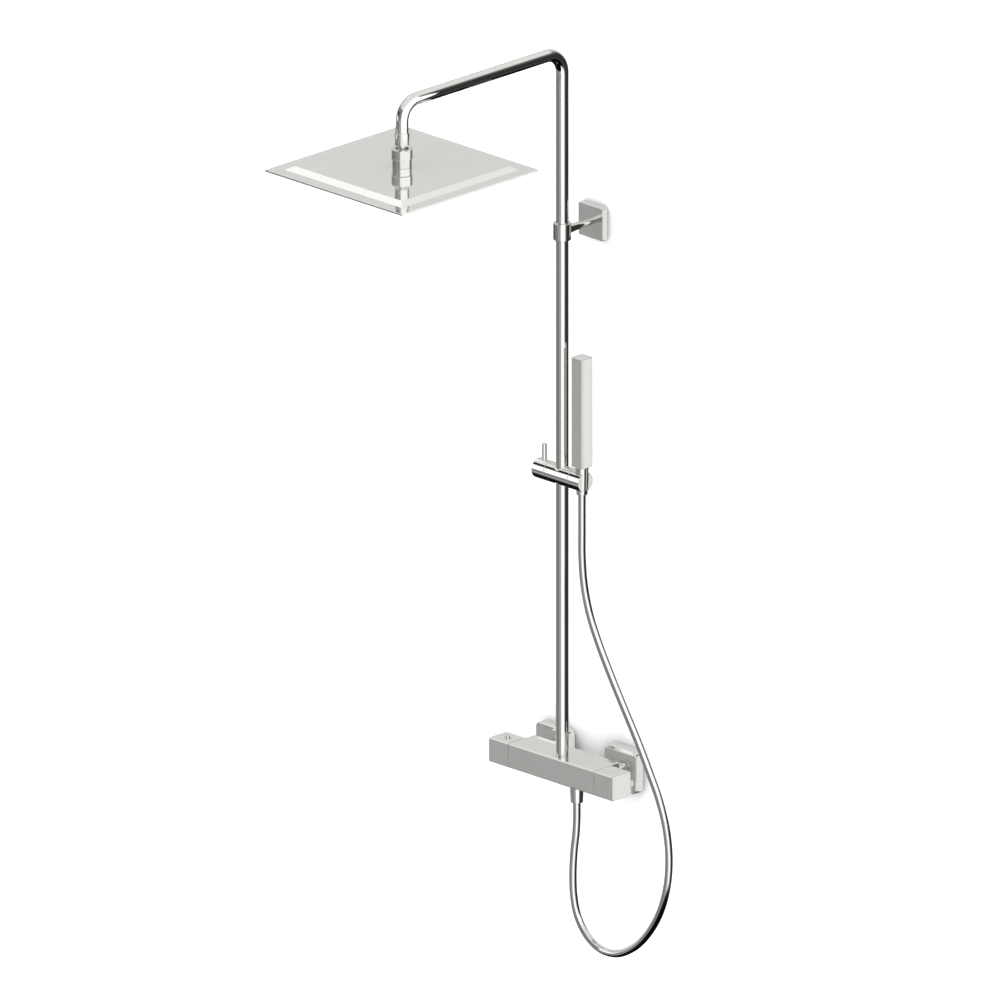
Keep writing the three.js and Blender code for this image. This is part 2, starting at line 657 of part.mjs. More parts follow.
function buildMixer() {
  const mixer = assembly(0, -WALL_TO_RISER, MIXER_AXIS_Z);
  const half = MIXER_SIDE / 2;
  const inlets = [[INLET_LEFT, 'left'], [INLET_LEFT + INLET_SPACING, 'right']];
  const leftFace = BODY_LEFT + KNOB_GAP;
  const rightFace = BODY_RIGHT - KNOB_GAP;
  const pocket = 27;
  const outletAt = [HOSE_OUTLET_X, 0, 0];

  const depth = half + BODY_BACK;
  let body = prism('x', [depth, MIXER_SIDE], leftFace, rightFace, MIXER_EDGE,
    [0, BODY_BACK - depth / 2, 0]);
  for (const [x] of inlets) {
    body = joined(body, bar('y', 15, BODY_BACK - CUT, BODY_BACK + 6, [x, 0, 0]),
      bar('y', 19, BODY_BACK + 4, BODY_BACK + 6, [x, 0, 0]));
  }
  for (const [x] of inlets) {
    body = cut(body, bar('y', 11, 0, BODY_BACK + 6 + CUT, [x, 0, 0], SMALL_ROUND));
  }
  addPart(mixer, 'mixer_body', cut(
    body,
    bar('x', pocket, leftFace - CUT, BODY_LEFT + 56),
    bar('x', pocket, BODY_RIGHT - 56, rightFace + CUT),
    bar('x', 10, BODY_LEFT + 55, BODY_RIGHT - 55, [0, 0, 0], SMALL_ROUND),
    bar('z', 16.8, half - 12, half + CUT),
    bar('z', 11, 0, half, [0, 0, 0], SMALL_ROUND),
    bar('z', 14.8, -half - CUT, -half + 10, outletAt),
    bar('z', 9, -half, 0, outletAt, SMALL_ROUND),
  ), 'chrome');

  const buttonX = BODY_LEFT - TEMPERATURE_KNOB_LENGTH / 2;
  const temperatureKnob = buildMixerEnd(mixer, {
    out: -1,
    face: BODY_LEFT,
    length: TEMPERATURE_KNOB_LENGTH,
    cartridge: 'thermostatic_cartridge',
    stopRing: 'temperature_stop_ring',
    spindle: 'thermostat_spindle',
    screw: 'temperature_grub_screw',
  });
  addPart(mixer, 'temperature_knob',
    cut(temperatureKnob, bar('z', 8.6, half - 5, half + CUT, [buttonX, 0, 0])), 'chrome');
  buildSafetyButton(mixer, buttonX);

  const flowKnob = buildMixerEnd(mixer, {
    out: 1,
    face: BODY_RIGHT,
    length: FLOW_KNOB_LENGTH,
    cartridge: 'diverter_cartridge',
    stopRing: 'flow_stop_ring',
    spindle: 'diverter_spindle',
    screw: 'flow_grub_screw',
  });
  addPart(mixer, 'flow_knob', flowKnob, 'chrome');

  for (const [x, side] of inlets) buildInlet(mixer, x, side);

  // Hose outlet below the body, with its check valve.
  const nippleTop = -half + 9;
  const nippleEnd = -half - 13;
  const nippleInside = 5.5;
  const nippleNeck = 7.1;
  const nippleThread = 8.3;
  const threadTop = -half - 0.6;
  addPart(mixer, 'hose_outlet_nipple', turned('z', [[nippleInside, nippleTop],
    [nippleNeck, nippleTop], [nippleNeck, threadTop], [nippleThread, threadTop],
    [nippleThread, nippleEnd], [nippleInside, nippleEnd], [nippleInside, nippleTop]],
  outletAt), 'brass');
  addPart(mixer, 'check_valve',
    tube('z', 10.4, 5, nippleEnd + 1, nippleTop - 2, outletAt, SMALL_ROUND), 'plastic');
  addPart(mixer, 'hose_lower_washer',
    tube('z', 16.4, 9, nippleEnd - 2.4, nippleEnd - CLEARANCE, outletAt, SMALL_ROUND), 'rubber');
  const nutTop = -half - 0.5;
  const nutShoulder = nippleEnd - 2.7;
  const nutInside = nippleThread + CLEARANCE;
  const [nutTopRadius, nutBottomRadius] = [10.7, 9.7];
  const nutMouth = 4.5;
  addPart(mixer, 'hose_lower_nut', turned('z', [[nutInside, nutTop], [nutTopRadius, nutTop],
    [nutBottomRadius, HOSE_NUT_BOTTOM], [nutMouth, HOSE_NUT_BOTTOM], [nutMouth, nutShoulder],
    [nutInside, nutShoulder], [nutInside, nutTop]], outletAt), 'chrome');
}

// ---------------------------------------------------------------- slider

function coneRadius(height) {
  const share = (height - CONE_BOTTOM) / (HANDSET_BASE - CONE_BOTTOM);
  return CONE_BOTTOM_RADIUS + (CONE_TOP_RADIUS - CONE_BOTTOM_RADIUS) * share;
}

function buildSlider() {
  const slider = assembly(0, -WALL_TO_RISER, SLIDER_AXIS_Z);
  const radius = SLIDER_DIAMETER / 2;
  const bushDiameter = 24;
  const spindle = 8;
  const spindleHole = spindle + 2 * CLEARANCE;
  const padFace = -RISER_DIAMETER / 2 - 0.35;
  const padBack = -13.5;
  const bodyLeft = -SLIDER_SPLIT;
  const screwHole = 6.6;

  addPart(slider, 'slider_body', cut(
    bar('x', SLIDER_DIAMETER, bodyLeft, SLIDER_SPLIT),
    bar('z', bushDiameter + 2 * CLEARANCE, -SLIDER_DIAMETER, SLIDER_DIAMETER),
    bar('x', spindleHole, bodyLeft - CUT, 0, [0, 0, 0], SMALL_ROUND),
    bar('x', screwHole, 0, SLIDER_SPLIT + CUT, [0, 0, 0], SMALL_ROUND),
  ), 'chrome');
  addPart(slider, 'slider_bush', cut(
    bar('z', bushDiameter, -radius, radius).intersect(
      bar('x', SLIDER_DIAMETER - 1, -radius, radius),
    ),
    bar('z', RISER_DIAMETER + 2 * CLEARANCE, -SLIDER_DIAMETER, SLIDER_DIAMETER),
    bar('x', spindleHole, -radius, 0, [0, 0, 0], SMALL_ROUND),
  ), 'plastic');
  addPart(slider, 'brake_pad', bar('x', spindle, padBack, padFace, [0, 0, 0], SMALL_ROUND),
    'rubber');

  const knobRight = bodyLeft - CLEARANCE;
  addPart(slider, 'lock_knob', cut(
    joined(bar('x', SLIDER_DIAMETER, LOCK_END, knobRight),
      bar('x', spindle, knobRight - CUT, padBack - CLEARANCE, [0, 0, 0], SMALL_ROUND)),
    bar('z', 5.6, 5.5, SLIDER_DIAMETER, [LEVER_X, 0, 0], SMALL_ROUND),
  ), 'chrome');
  const leverTop = radius + LEVER_HEIGHT;
  const leverFoot = 10;
  const leverRadius = 4;
  const leverEdge = 0.8;
  const leverOutline = [[0, leverFoot], [leverRadius, leverFoot],
    [leverRadius, leverTop - leverEdge], [leverRadius - leverEdge, leverTop], [0, leverTop]];
  const leverAt = [LEVER_X, 0, 0];
  addPart(slider, 'lock_lever', joined(
    cut(
      turned('z', leverOutline, leverAt),
      bar('x', SLIDER_DIAMETER + 2 * CLEARANCE, LOCK_END, bodyLeft),
    ),
    bar('z', 5, 6, radius + 4, leverAt, SMALL_ROUND),
  ), 'chrome');

  const holderLeft = SLIDER_SPLIT + CLEARANCE;
  const headSeat = 29.5;
  const seatLow = -SLIDER_DIAMETER;
  const seatHigh = SLIDER_DIAMETER;
  const seatAt = [HANDSET_X, 0, 0];
  const seat = turned('z', [[0, seatLow], [coneRadius(seatLow) + CLEARANCE, seatLow],
    [coneRadius(seatHigh) + CLEARANCE, seatHigh], [0, seatHigh]], seatAt);
  const hoseSlot = HOSE_DIAMETER / 2 + 0.7;
  addPart(slider, 'handset_holder', cut(
    bar('x', SLIDER_DIAMETER, holderLeft, HOLDER_END),
    seat,
    block([HANDSET_X, -hoseSlot, seatLow], [HOLDER_END + CUT, hoseSlot, seatHigh]),
    bar('x', screwHole, holderLeft - CUT, HANDSET_X, [0, 0, 0], SMALL_ROUND),
    bar('x', 10.6, headSeat, HANDSET_X, [0, 0, 0], SMALL_ROUND),
  ), 'chrome');
  const headFace = headSeat + 3;
  const headBottom = headSeat + CLEARANCE;
  const screwEnd = 15;
  const screw = turned('x', [[0, screwEnd], [3, screwEnd], [3, headBottom], [5, headBottom],
    [5, headFace], [0, headFace]], [0, 0, 0], SMALL_ROUND);
  const hexSocket = bar('x', 4.6, headFace - 1.8, headFace + CUT, [0, 0, 0], HEXAGON);
  addPart(slider, 'holder_screw', cut(screw, hexSocket), 'steel');
}

// ---------------------------------------------------------------- handset

function buildHandset() {
  const handset = assembly(HANDSET_X, -WALL_TO_RISER, SLIDER_AXIS_Z);
  const threadBottom = 10;
  const threadRadius = 8.2;
  const washerTop = threadBottom + 2;
  const mouth = 4;
  addPart(handset, 'hose_cone_nut', turned('z', [[mouth, CONE_BOTTOM],
    [CONE_BOTTOM_RADIUS, CONE_BOTTOM], [CONE_TOP_RADIUS, HANDSET_BASE],
    [threadRadius, HANDSET_BASE], [threadRadius, threadBottom], [mouth, threadBottom],
    [mouth, CONE_BOTTOM]]), 'chrome');
  addPart(handset, 'hose_upper_washer',
    tube('z', 15.6, 8, threadBottom + CLEARANCE, washerTop, [0, 0, 0], SMALL_ROUND), 'rubber');
  const insertTop = 45;
  addPart(handset, 'handset_insert',
    tube('z', 15.8, 10, washerTop + CLEARANCE, insertTop), 'brass');

  const bodyBottom = HANDSET_BASE + CLEARANCE;
  const waterTop = HANDSET_TOP - 6;
  const faceY = HANDSET_SIDE / 2;
  const [windowLow, windowHigh] = [62, 192];
  const windowHalf = 7.5;
  const windowDepth = 3;
  const body = cut(
    squareBar('z', HANDSET_SIDE, bodyBottom, HANDSET_TOP, 1, [0, 0, 0], 2),
    bar('z', 16.4, bodyBottom - CUT, insertTop + CLEARANCE),
    bar('z', 14, insertTop, waterTop),
    block([-windowHalf, faceY - windowDepth, windowLow], [windowHalf, faceY + CUT, windowHigh]),
    block([-5, 0, windowLow + 3], [5, faceY, windowHigh - 3]),
  );
  addPart(handset, 'handset_body', body, 'chrome');
  addPart(handset, 'handset_spray_plate', block(
    [-windowHalf + CLEARANCE, faceY - windowDepth + CLEARANCE, windowLow + CLEARANCE],
    [windowHalf - CLEARANCE, faceY, windowHigh - CLEARANCE],
  ), 'silicone');
}

// ---------------------------------------------------------------- hose

// The hose leaves the outlet nut straight down, makes a loop below the mixer, rises past its
// right end and runs up into the cone nut. It hangs in the riser's own plane. Points are
// [X, height above the mixer's top].
const HOSE_ROUTE = [
  [32, -68.8], [32, -92], [30.5, -118], [26, -150], [23.5, -190], [25.5, -225], [34, -255],
  [54, -281.5], [83, -296.5], [118, -296], [156, -277], [188, -246], [214, -205], [229, -160],
  [233.5, -115], [228, -68], [213, -24], [189, 21], [163, 66], [135, 110], [107, 155], [80, 202],
  [60, 245], [48, 290], [43.4, 335], [HANDSET_X, 380], [HANDSET_X, 415], [HANDSET_X, 436.7],
];

function buildHose() {
  const hose = assembly(0, -WALL_TO_RISER, MIXER_TOP);
  const points = HOSE_ROUTE.map(([x, height]) => new THREE.Vector3(x, 0, height));
  const route = new THREE.CatmullRomCurve3(points, false, 'centripetal');
  const geometry = new THREE.ExtrudeGeometry(circleShape(HOSE_DIAMETER / 2, HOSE_SIDES), {
    steps: HOSE_STEPS,
    extrudePath: route,
  });
  addPart(hose, 'hose', solid(geometry), 'hose');
}

buildWallBracket();
buildRiser();
buildHead();
buildMixer();
buildSlider();
buildHandset();
buildHose();

export default column;
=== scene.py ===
# Looks of an exposed rainfall shower column: chromed riser, overhead arm and square head, slider
# with a stick handset, thermostatic bar mixer and a smooth silver hose.
# Metres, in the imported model's frame: +X to the right along the wall, +Y into the wall, +Z up,
# with the origin on the wall behind the upper bracket.

import json
import math

import bmesh
import bpy
from mathutils import Matrix, Vector

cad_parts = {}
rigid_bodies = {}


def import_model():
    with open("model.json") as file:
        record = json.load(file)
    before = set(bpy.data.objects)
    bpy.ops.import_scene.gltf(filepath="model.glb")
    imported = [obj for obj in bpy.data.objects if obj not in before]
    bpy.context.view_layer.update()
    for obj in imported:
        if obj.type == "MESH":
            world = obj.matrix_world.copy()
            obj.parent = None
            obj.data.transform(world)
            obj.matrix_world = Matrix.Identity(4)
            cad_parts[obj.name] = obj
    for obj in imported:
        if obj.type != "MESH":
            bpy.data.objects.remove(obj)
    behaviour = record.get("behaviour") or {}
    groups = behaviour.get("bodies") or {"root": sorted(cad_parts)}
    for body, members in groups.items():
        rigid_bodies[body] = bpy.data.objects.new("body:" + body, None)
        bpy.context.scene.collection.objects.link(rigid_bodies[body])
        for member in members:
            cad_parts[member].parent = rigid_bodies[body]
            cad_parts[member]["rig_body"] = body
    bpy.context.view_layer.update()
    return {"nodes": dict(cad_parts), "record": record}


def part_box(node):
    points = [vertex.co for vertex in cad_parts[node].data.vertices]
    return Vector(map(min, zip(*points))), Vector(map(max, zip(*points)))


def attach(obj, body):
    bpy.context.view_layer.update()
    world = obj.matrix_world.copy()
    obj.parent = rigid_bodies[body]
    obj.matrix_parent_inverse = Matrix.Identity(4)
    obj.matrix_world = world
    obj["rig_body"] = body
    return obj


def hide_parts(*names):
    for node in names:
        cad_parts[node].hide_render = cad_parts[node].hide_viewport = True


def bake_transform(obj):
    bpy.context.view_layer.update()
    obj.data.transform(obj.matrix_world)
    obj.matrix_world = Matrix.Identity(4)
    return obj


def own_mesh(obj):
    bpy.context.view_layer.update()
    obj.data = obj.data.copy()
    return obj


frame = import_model()

MM = 0.001
TINY = 1e-7
SEGMENTS = 96                # round the larger turned pieces
SMALL_SEGMENTS = 40          # round screws, pins and holes
BAR_SEGMENTS = 128           # round the slider's bar
SMOOTH_BELOW = math.radians(35)

VIEW_AZIMUTH = math.radians(45)
VIEW_ELEVATION = math.radians(19)
VIEW_AIM = Vector((-0.0685, -0.1415, -0.4401))
VIEW_DISTANCE = 4
VIEW_WIDTH = 1.5456

FLOOR_DEPTH = 1.0            # the mixer's usual height above the floor


def middle(node):
    low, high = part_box(node)
    return (low + high) / 2


def half_width(node):
    low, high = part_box(node)
    return (high - low).x / 2


def add_object(name, data):
    item = bpy.data.objects.new(name, data)
    bpy.context.scene.collection.objects.link(item)
    return item


RISER = middle("lower_riser")
MIXER_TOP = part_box("mixer_body")[1].z
SLIDER = middle("slider_body")
HANDSET = middle("handset_body")
HEAD = middle("head_face_plate")
TUBE_RADIUS = half_width("lower_riser")
TUBE_BORE = TUBE_RADIUS - 1.5 * MM
GAP = 0.3 * MM               # between pieces that slide or turn past one another
COVER_SHEET = 2 * MM         # sheet of the wall covers
BAR_EDGE = 0.5 * MM          # rounding at the ends of the slider's bar
CONE_TAPER = 1.75 * MM       # how much the cone nut's radius grows from foot to top


# ---- camera ----

def make_camera():
    back = Vector((math.sin(VIEW_AZIMUTH) * math.cos(VIEW_ELEVATION),
                   -math.cos(VIEW_AZIMUTH) * math.cos(VIEW_ELEVATION),
                   math.sin(VIEW_ELEVATION)))
    camera = add_object("camera", bpy.data.cameras.new("camera"))
    camera.data.type = "ORTHO"
    camera.data.ortho_scale = VIEW_WIDTH
    camera.location = VIEW_AIM + back * VIEW_DISTANCE
    camera.rotation_mode = "QUATERNION"
    camera.rotation_quaternion = (-back).to_track_quat("-Z", "Y")
    bpy.context.scene.camera = camera


make_camera()


# ---- materials ----

WHITE = (1, 1, 1, 1)
CHROME_TONES = ((0.745, 0.76, 0.728), (0.76, 0.775, 0.742))
CHROME_BUMP = (260, 0.02, 0.00002)
SOFT_CHROME_METAL = 0.8


def set_up_material(name, metallic, roughness):
    material = bpy.data.materials.new(name)
    material.use_nodes = True
    surface = material.node_tree.nodes["Principled BSDF"]
    surface.inputs["Metallic"].default_value = metallic
    surface.inputs["Roughness"].default_value = roughness
    return material, surface


def feed(tree, socket, source):
    """Sets a node's input to a value, or links it to another node's output."""
    if isinstance(source, bpy.types.NodeSocket):
        tree.links.new(source, socket)
    else:
        socket.default_value = source


def add_node(tree, kind, **inputs):
    """A shader node. An underscore in an input's name stands for a space."""
    node = tree.nodes.new(kind)
    for name, source in inputs.items():
        feed(tree, node.inputs[name.replace("_", " ")], source)
    return node


def compute(tree, operation, *values):
    node = tree.nodes.new("ShaderNodeMath")
    node.operation = operation
    for socket, value in zip(node.inputs, values):
        feed(tree, socket, value)
    return node.outputs[0]


def noise(material, scale, detail=2):
    tree = material.node_tree
    place = add_node(tree, "ShaderNodeTexCoord")
    texture = add_node(tree, "ShaderNodeTexNoise", Vector=place.outputs["Object"], Scale=scale,
                       Detail=detail)
    return texture.outputs["Fac"]


def ramp(material, source, low, high, start=0.35, end=0.65):
    node = add_node(material.node_tree, "ShaderNodeValToRGB", Fac=source)
    for element, place, tone in zip(node.color_ramp.elements, (start, end), (low, high)):
        element.position = place
        element.color = (*tone, 1)
    return node.outputs["Color"]


def spread(material, source, low, high, start=0):
    """Maps the values from `start` to 1 onto those from `low` to `high`."""
    node = add_node(material.node_tree, "ShaderNodeMapRange", Value=source, From_Min=start,
                    To_Min=low, To_Max=high)
    return node.outputs["Result"]


def add_bump(material, surface, height, strength, distance):
    bump = add_node(material.node_tree, "ShaderNodeBump", Height=height, Strength=strength,
                    Distance=distance)
    material.node_tree.links.new(bump.outputs["Normal"], surface.inputs["Normal"])


def mottled(name, metallic, roughness, dark, light, grain, bump, cloud=30):
    """A material whose colour drifts between two tones, with a fine grain in its roughness. The
    bump is a scale, a strength and a distance."""
    material, surface = set_up_material(name, metallic, sum(roughness) / 2)
    links = material.node_tree.links
    links.new(ramp(material, noise(material, cloud), dark, light), surface.inputs["Base Color"])
    links.new(spread(material, noise(material, grain, 3), *roughness),
              surface.inputs["Roughness"])
    bump_scale, strength, distance = bump
    add_bump(material, surface, noise(material, bump_scale), strength, distance)
    return material


def chrome():
    return mottled("polished_chrome", 1, (0.03, 0.06), *CHROME_TONES, 60, CHROME_BUMP)


def soft_chrome():
    """The flat pieces' plating, over a finely brushed base that veils its reflections."""
    return mottled("soft_chrome", SOFT_CHROME_METAL, (0.05, 0.09), *CHROME_TONES, 60, CHROME_BUMP)


def steel():
    return mottled("zinc_steel", 1, (0.22, 0.36), (0.5, 0.51, 0.52), (0.62, 0.63, 0.64), 700,
                   (900, 0.15, 0.0001), 180)


def brass():
    return mottled("turned_brass", 1, (0.2, 0.34), (0.66, 0.5, 0.24), (0.8, 0.64, 0.34), 500,
                   (1200, 0.12, 0.0001), 120)


def rubber():
    return mottled("black_rubber", 0, (0.6, 0.8), (0.018, 0.018, 0.019), (0.03, 0.03, 0.032),
                   800, (1500, 0.2, 0.0001), 260)


def silicone():
    return mottled("grey_silicone", 0, (0.42, 0.55), (0.2, 0.205, 0.21), (0.24, 0.245, 0.25),
                   500, (1400, 0.1, 0.0001), 140)


def plastic():
    return mottled("white_acetal", 0, (0.35, 0.48), (0.72, 0.72, 0.7), (0.8, 0.8, 0.78), 500,
                   (1400, 0.08, 0.0001), 120)


def hose_sheath():
    """Silver film under a clear skin, wound on a fine spiral that barely shows."""
    material, surface = set_up_material("silver_hose", 1, 0.1)
    tree = material.node_tree
    place = add_node(tree, "ShaderNodeUVMap")
    wave = add_node(tree, "ShaderNodeTexWave", Vector=place.outputs["UV"], Scale=1)
    wave.bands_direction = "DIAGONAL"
    spiral = wave.outputs["Fac"]
    tone = ramp(material, spiral, (0.735, 0.74, 0.735), (0.76, 0.765, 0.76), 0.1, 0.9)
    tree.links.new(tone, surface.inputs["Base Color"])
    tree.links.new(spread(material, spiral, 0.11, 0.08), surface.inputs["Roughness"])
    add_bump(material, surface, spiral, 0.02, 0.0002)
    return material


FINISHES = {
    "chrome": chrome(),
    "soft_chrome": soft_chrome(),
    "steel": steel(),
    "brass": brass(),
    "rubber": rubber(),
    "silicone": silicone(),
    "plastic": plastic(),
    "hose": hose_sheath(),
}


# ---- shapes ----

X, Y, Z = Vector((1, 0, 0)), Vector((0, 1, 0)), Vector((0, 0, 1))
AXES = {"x": (X, Y, Z), "y": (Y, Z, X), "z": (Z, X, Y)}


def soften(outline, radius, steps=4):
    """Rounds an outline's inner corners. A point may carry a third number, its own radius."""
    rounded = [outline[0][:2]]
    for before, here, after in zip(outline, outline[1:], outline[2:]):
        corner, start, end = Vector(here[:2]), Vector(before[:2]), Vector(after[:2])
        to_start, to_end = start - corner, end - corner
        wanted = here[2] if len(here) > 2 else radius
        angle = to_start.angle(to_end)
        if wanted <= 0 or angle > math.radians(175):
            rounded.append(here[:2])
            continue
        cut_back = min(wanted / math.tan(angle / 2), 0.45 * to_start.length, 0.45 * to_end.length)
        turn = cut_back * math.tan(angle / 2)
        inward = (to_start.normalized() + to_end.normalized()).normalized()
        centre = corner + inward * (turn / math.sin(angle / 2))
        arm_start = corner + to_start.normalized() * cut_back - centre
        arm_end = corner + to_end.normalized() * cut_back - centre
        sweep = arm_start.angle_signed(arm_end)
        for step in range(steps + 1):
            spoke = arm_start.copy()
            spoke.rotate(Matrix.Rotation(-sweep * step / steps, 2))
            rounded.append(tuple(centre + spoke))
    rounded.append(outline[-1][:2])
    return rounded


def skin(loops, closed=False):
    """A mesh through loops of points. A loop of one point closes an end, and the two ends of an
    open run of loops are capped."""
    mesh = bmesh.new()
    rings = [[mesh.verts.new(point) for point in loop] for loop in loops]
    pairs = list(zip(rings, rings[1:]))
    if closed:
        pairs.append((rings[-1], rings[0]))
    for one, other in pairs:
        count = max(len(one), len(other))
        for i in range(count):
            j = (i + 1) % count
            corners = [one[i % len(one)], one[j % len(one)], other[j % len(other)],
                       other[i % len(other)]]
            mesh.faces.new(list(dict.fromkeys(corners)))
    if not closed:
        for ring in (rings[0], rings[-1]):
            if len(ring) > 2:
                mesh.faces.new(ring)
    bmesh.ops.recalc_face_normals(mesh, faces=mesh.faces)
    return mesh


def circle(centre, side, other, radius, count):
    """Points round a circle that lies along two directions."""
    angles = [2 * math.pi * i / count for i in range(count)]
    return [centre + side * (radius * math.cos(angle)) + other * (radius * math.sin(angle))
            for angle in angles]


def revolve(axis, centre, outline, segments=SEGMENTS):
    """Turns an outline of (radius, station) points about a line through the centre. Stations are
    places along the axis in the frame."""
    along, side, other = AXES[axis]
    base = centre - along * centre.dot(along)
    closed = outline[0] == outline[-1]
    loops = []
    for radius, station in outline[:-1] if closed else outline:
        place = base + along * station
        loops.append([place] if radius < TINY else circle(place, side, other, radius, segments))
    return skin(loops, closed)


def slab(axis, centre, sections, steps=6):
    """A body of rounded rectangular sections, each (half side, half side, corner radius,
    station). The half sides run along the two axes that follow the body's own in X, Y, Z order."""
    along, side, other = AXES[axis]
    base = centre - along * centre.dot(along)
    loops = []
    for half_side, half_other, corner, station in sections:
        loop = []
        for quarter, (sign_side, sign_other) in enumerate(((1, 1), (-1, 1), (-1, -1), (1, -1))):
            for step in range(steps + 1):
                angle = (quarter + step / steps) * math.pi / 2
                reach = sign_side * (half_side - corner) + corner * math.cos(angle)
                rise = sign_other * (half_other - corner) + corner * math.sin(angle)
                loop.append(base + along * station + side * reach + other * rise)
        loops.append(loop)
    return skin(loops)


def rounded_end(half_side, half_other, corner, station, edge, outward, steps=4):
    """Sections that round the edge of a slab's end. The last one is the flat of the end."""
    sections = []
    for step in range(steps + 1):
        angle = step / steps * math.pi / 2
        inset = edge * (1 - math.cos(angle))
        back = edge * (1 - math.sin(angle))
        sections.append((half_side - inset, half_other - inset, max(corner - inset, 0.1 * MM),
                         station - outward * back))
    return sections


def to_data(name, mesh):
    data = bpy.data.meshes.new(name)
    mesh.to_mesh(data)
    mesh.free()
    return data


def boolean(operation, mesh, *tools):
    """Cuts a closed mesh with others, or keeps what they have in common."""
    body, *helpers = [add_object("scratch", to_data("scratch", part)) for part in (mesh, *tools)]
    for helper in helpers:
        modifier = body.modifiers.new("boolean", "BOOLEAN")
        modifier.operation = operation
        modifier.solver = "EXACT"
        modifier.object = helper
    bpy.context.view_layer.update()
    evaluated = body.evaluated_get(bpy.context.evaluated_depsgraph_get())
    result = bmesh.new()
    result.from_mesh(evaluated.to_mesh())
    evaluated.to_mesh_clear()
    for item in (body, *helpers):
        data = item.data
        bpy.data.objects.remove(item)
        bpy.data.meshes.remove(data)
    bmesh.ops.remove_doubles(result, verts=result.verts, dist=1e-6)
    return result


def cylinder(axis, centre, radius, start, end, segments=SMALL_SEGMENTS):
    return revolve(axis, centre, [(0, start), (radius, start), (radius, end), (0, end)], segments)


def rod(axis, centre, radius, start, end, edge, segments):
    """A cylinder with rounded edges."""
    outline = soften([(0, start), (radius, start), (radius, end), (0, end)], edge)
    return revolve(axis, centre, outline, segments)


def ring(axis, centre, corners, edge):
    """Turns a closed outline of softened corners. Its last side runs along the axis, and the
    outline starts on that side, 1 mm from the first corner."""
    radius, station = corners[0][:2]
    start = (radius, station + math.copysign(1 * MM, corners[-1][1] - station))
    return revolve(axis, centre, soften([start, *corners, start], edge))


def block(low, high):
    mesh = bmesh.new()
    bmesh.ops.create_cube(mesh, size=1)
    size = Vector(high) - Vector(low)
    bmesh.ops.scale(mesh, vec=size, verts=mesh.verts)
    bmesh.ops.translate(mesh, vec=Vector(low) + size / 2, verts=mesh.verts)
    return mesh


def bevel_edges(mesh, width, steps=2):
    sharp = [e for e in mesh.edges if e.is_manifold and e.calc_face_angle() > SMOOTH_BELOW]
    bmesh.ops.bevel(mesh, geom=sharp, offset=width, segments=steps, profile=0.5,
                    affect="EDGES", clamp_overlap=True)
    return mesh


def gather(meshes):
    """Several meshes as one."""
    whole = bmesh.new()
    for mesh in meshes:
        data = to_data("scratch", mesh)
        whole.from_mesh(data)
        bpy.data.meshes.remove(data)
    return whole


def thread(axis, centre, radius, bore, depth, pitch, start, end, segments):
    """A tube with a screw thread outside, which fades out at both ends."""
    along, side, other = AXES[axis]
    base = centre - along * centre.dot(along)
    per_turn = 8
    rows = int((end - start) / pitch * per_turn)
    loops = []
    for row in range(rows + 1):
        station = start + (end - start) * row / rows
        fade = min(1, row / per_turn, (rows - row) / per_turn)
        loop = []
        for i in range(segments):
            turn = i / segments
            phase = ((station - start) / pitch - turn) % 1
            reach = radius - depth * fade * abs(2 * phase - 1)
            angle = 2 * math.pi * turn
            loop.append(base + along * station + side * (reach * math.cos(angle))
                        + other * (reach * math.sin(angle)))
        loops.append(loop)
    for station in (end, start):
        loops.append(circle(base + along * station, side, other, bore, segments))
    return skin(loops, closed=True)


# ---- pieces ----

def put(name, mesh, finish, smooth_below=SMOOTH_BELOW):
    """Makes a shaded object of a mesh, with crisp edges where its faces meet at an angle."""
    for face in mesh.faces:
        face.smooth = True
    for edge in mesh.edges:
        edge.smooth = edge.is_manifold and edge.calc_face_angle() < smooth_below
    data = to_data(name, mesh)
    data.materials.append(FINISHES[finish])
    item = add_object(name, data)
    return item


def stand_for(node, mesh, finish="chrome", smooth_below=SMOOTH_BELOW):
    """A finely made piece in place of a CAD node, riding on that node's body."""
    item = put(f"{node}_fine", mesh, finish, smooth_below)
    weighted = item.modifiers.new("even shading", "WEIGHTED_NORMAL")
    weighted.keep_sharp = True
    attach(item, frame["nodes"][node]["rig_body"])
    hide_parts(node)
    return item


# ---- hose ----

# Points of the hose's centre line, (X, height above the mixer's top), in the riser's plane.
HOSE_ROUTE = [
    (0.032, -0.0688), (0.032, -0.092), (0.0305, -0.118), (0.026, -0.15), (0.0235, -0.19),
    (0.0255, -0.225), (0.034, -0.255), (0.054, -0.2815), (0.083, -0.2965), (0.118, -0.296),
    (0.156, -0.277), (0.188, -0.246), (0.214, -0.205), (0.229, -0.16), (0.2335, -0.115),
    (0.228, -0.068), (0.213, -0.024), (0.189, 0.021), (0.163, 0.066), (0.135, 0.11),
    (0.107, 0.155), (0.08, 0.202), (0.06, 0.245), (0.048, 0.29), (0.0434, 0.335),
    (0.0432, 0.38), (0.0432, 0.415), (0.0432, 0.4367),
]
HOSE_DIAMETER = 0.012
HOSE_SIDES = 32
LOOP_BOTTOM = 9              # route points where one section of hose hands over to the next
SLIDER_START = 22.5
HOLDER_START = 24.5
SPIRAL_PITCH = 0.004
# The hose's sections: name, bodies that it runs between and pieces that go with it.
HOSE_SECTIONS = [
    ("hose_loop", None, ["hose_lower_nut_fine", "hose_lower_washer"]),
    ("hose_rise", ("column", "slider"), []),
    ("hose_below_holder", ("slider", "holder"), []),
    ("hose_end_run", ("holder", "hose_end"), ["hose_cone_nut_fine", "hose_upper_washer"]),
]


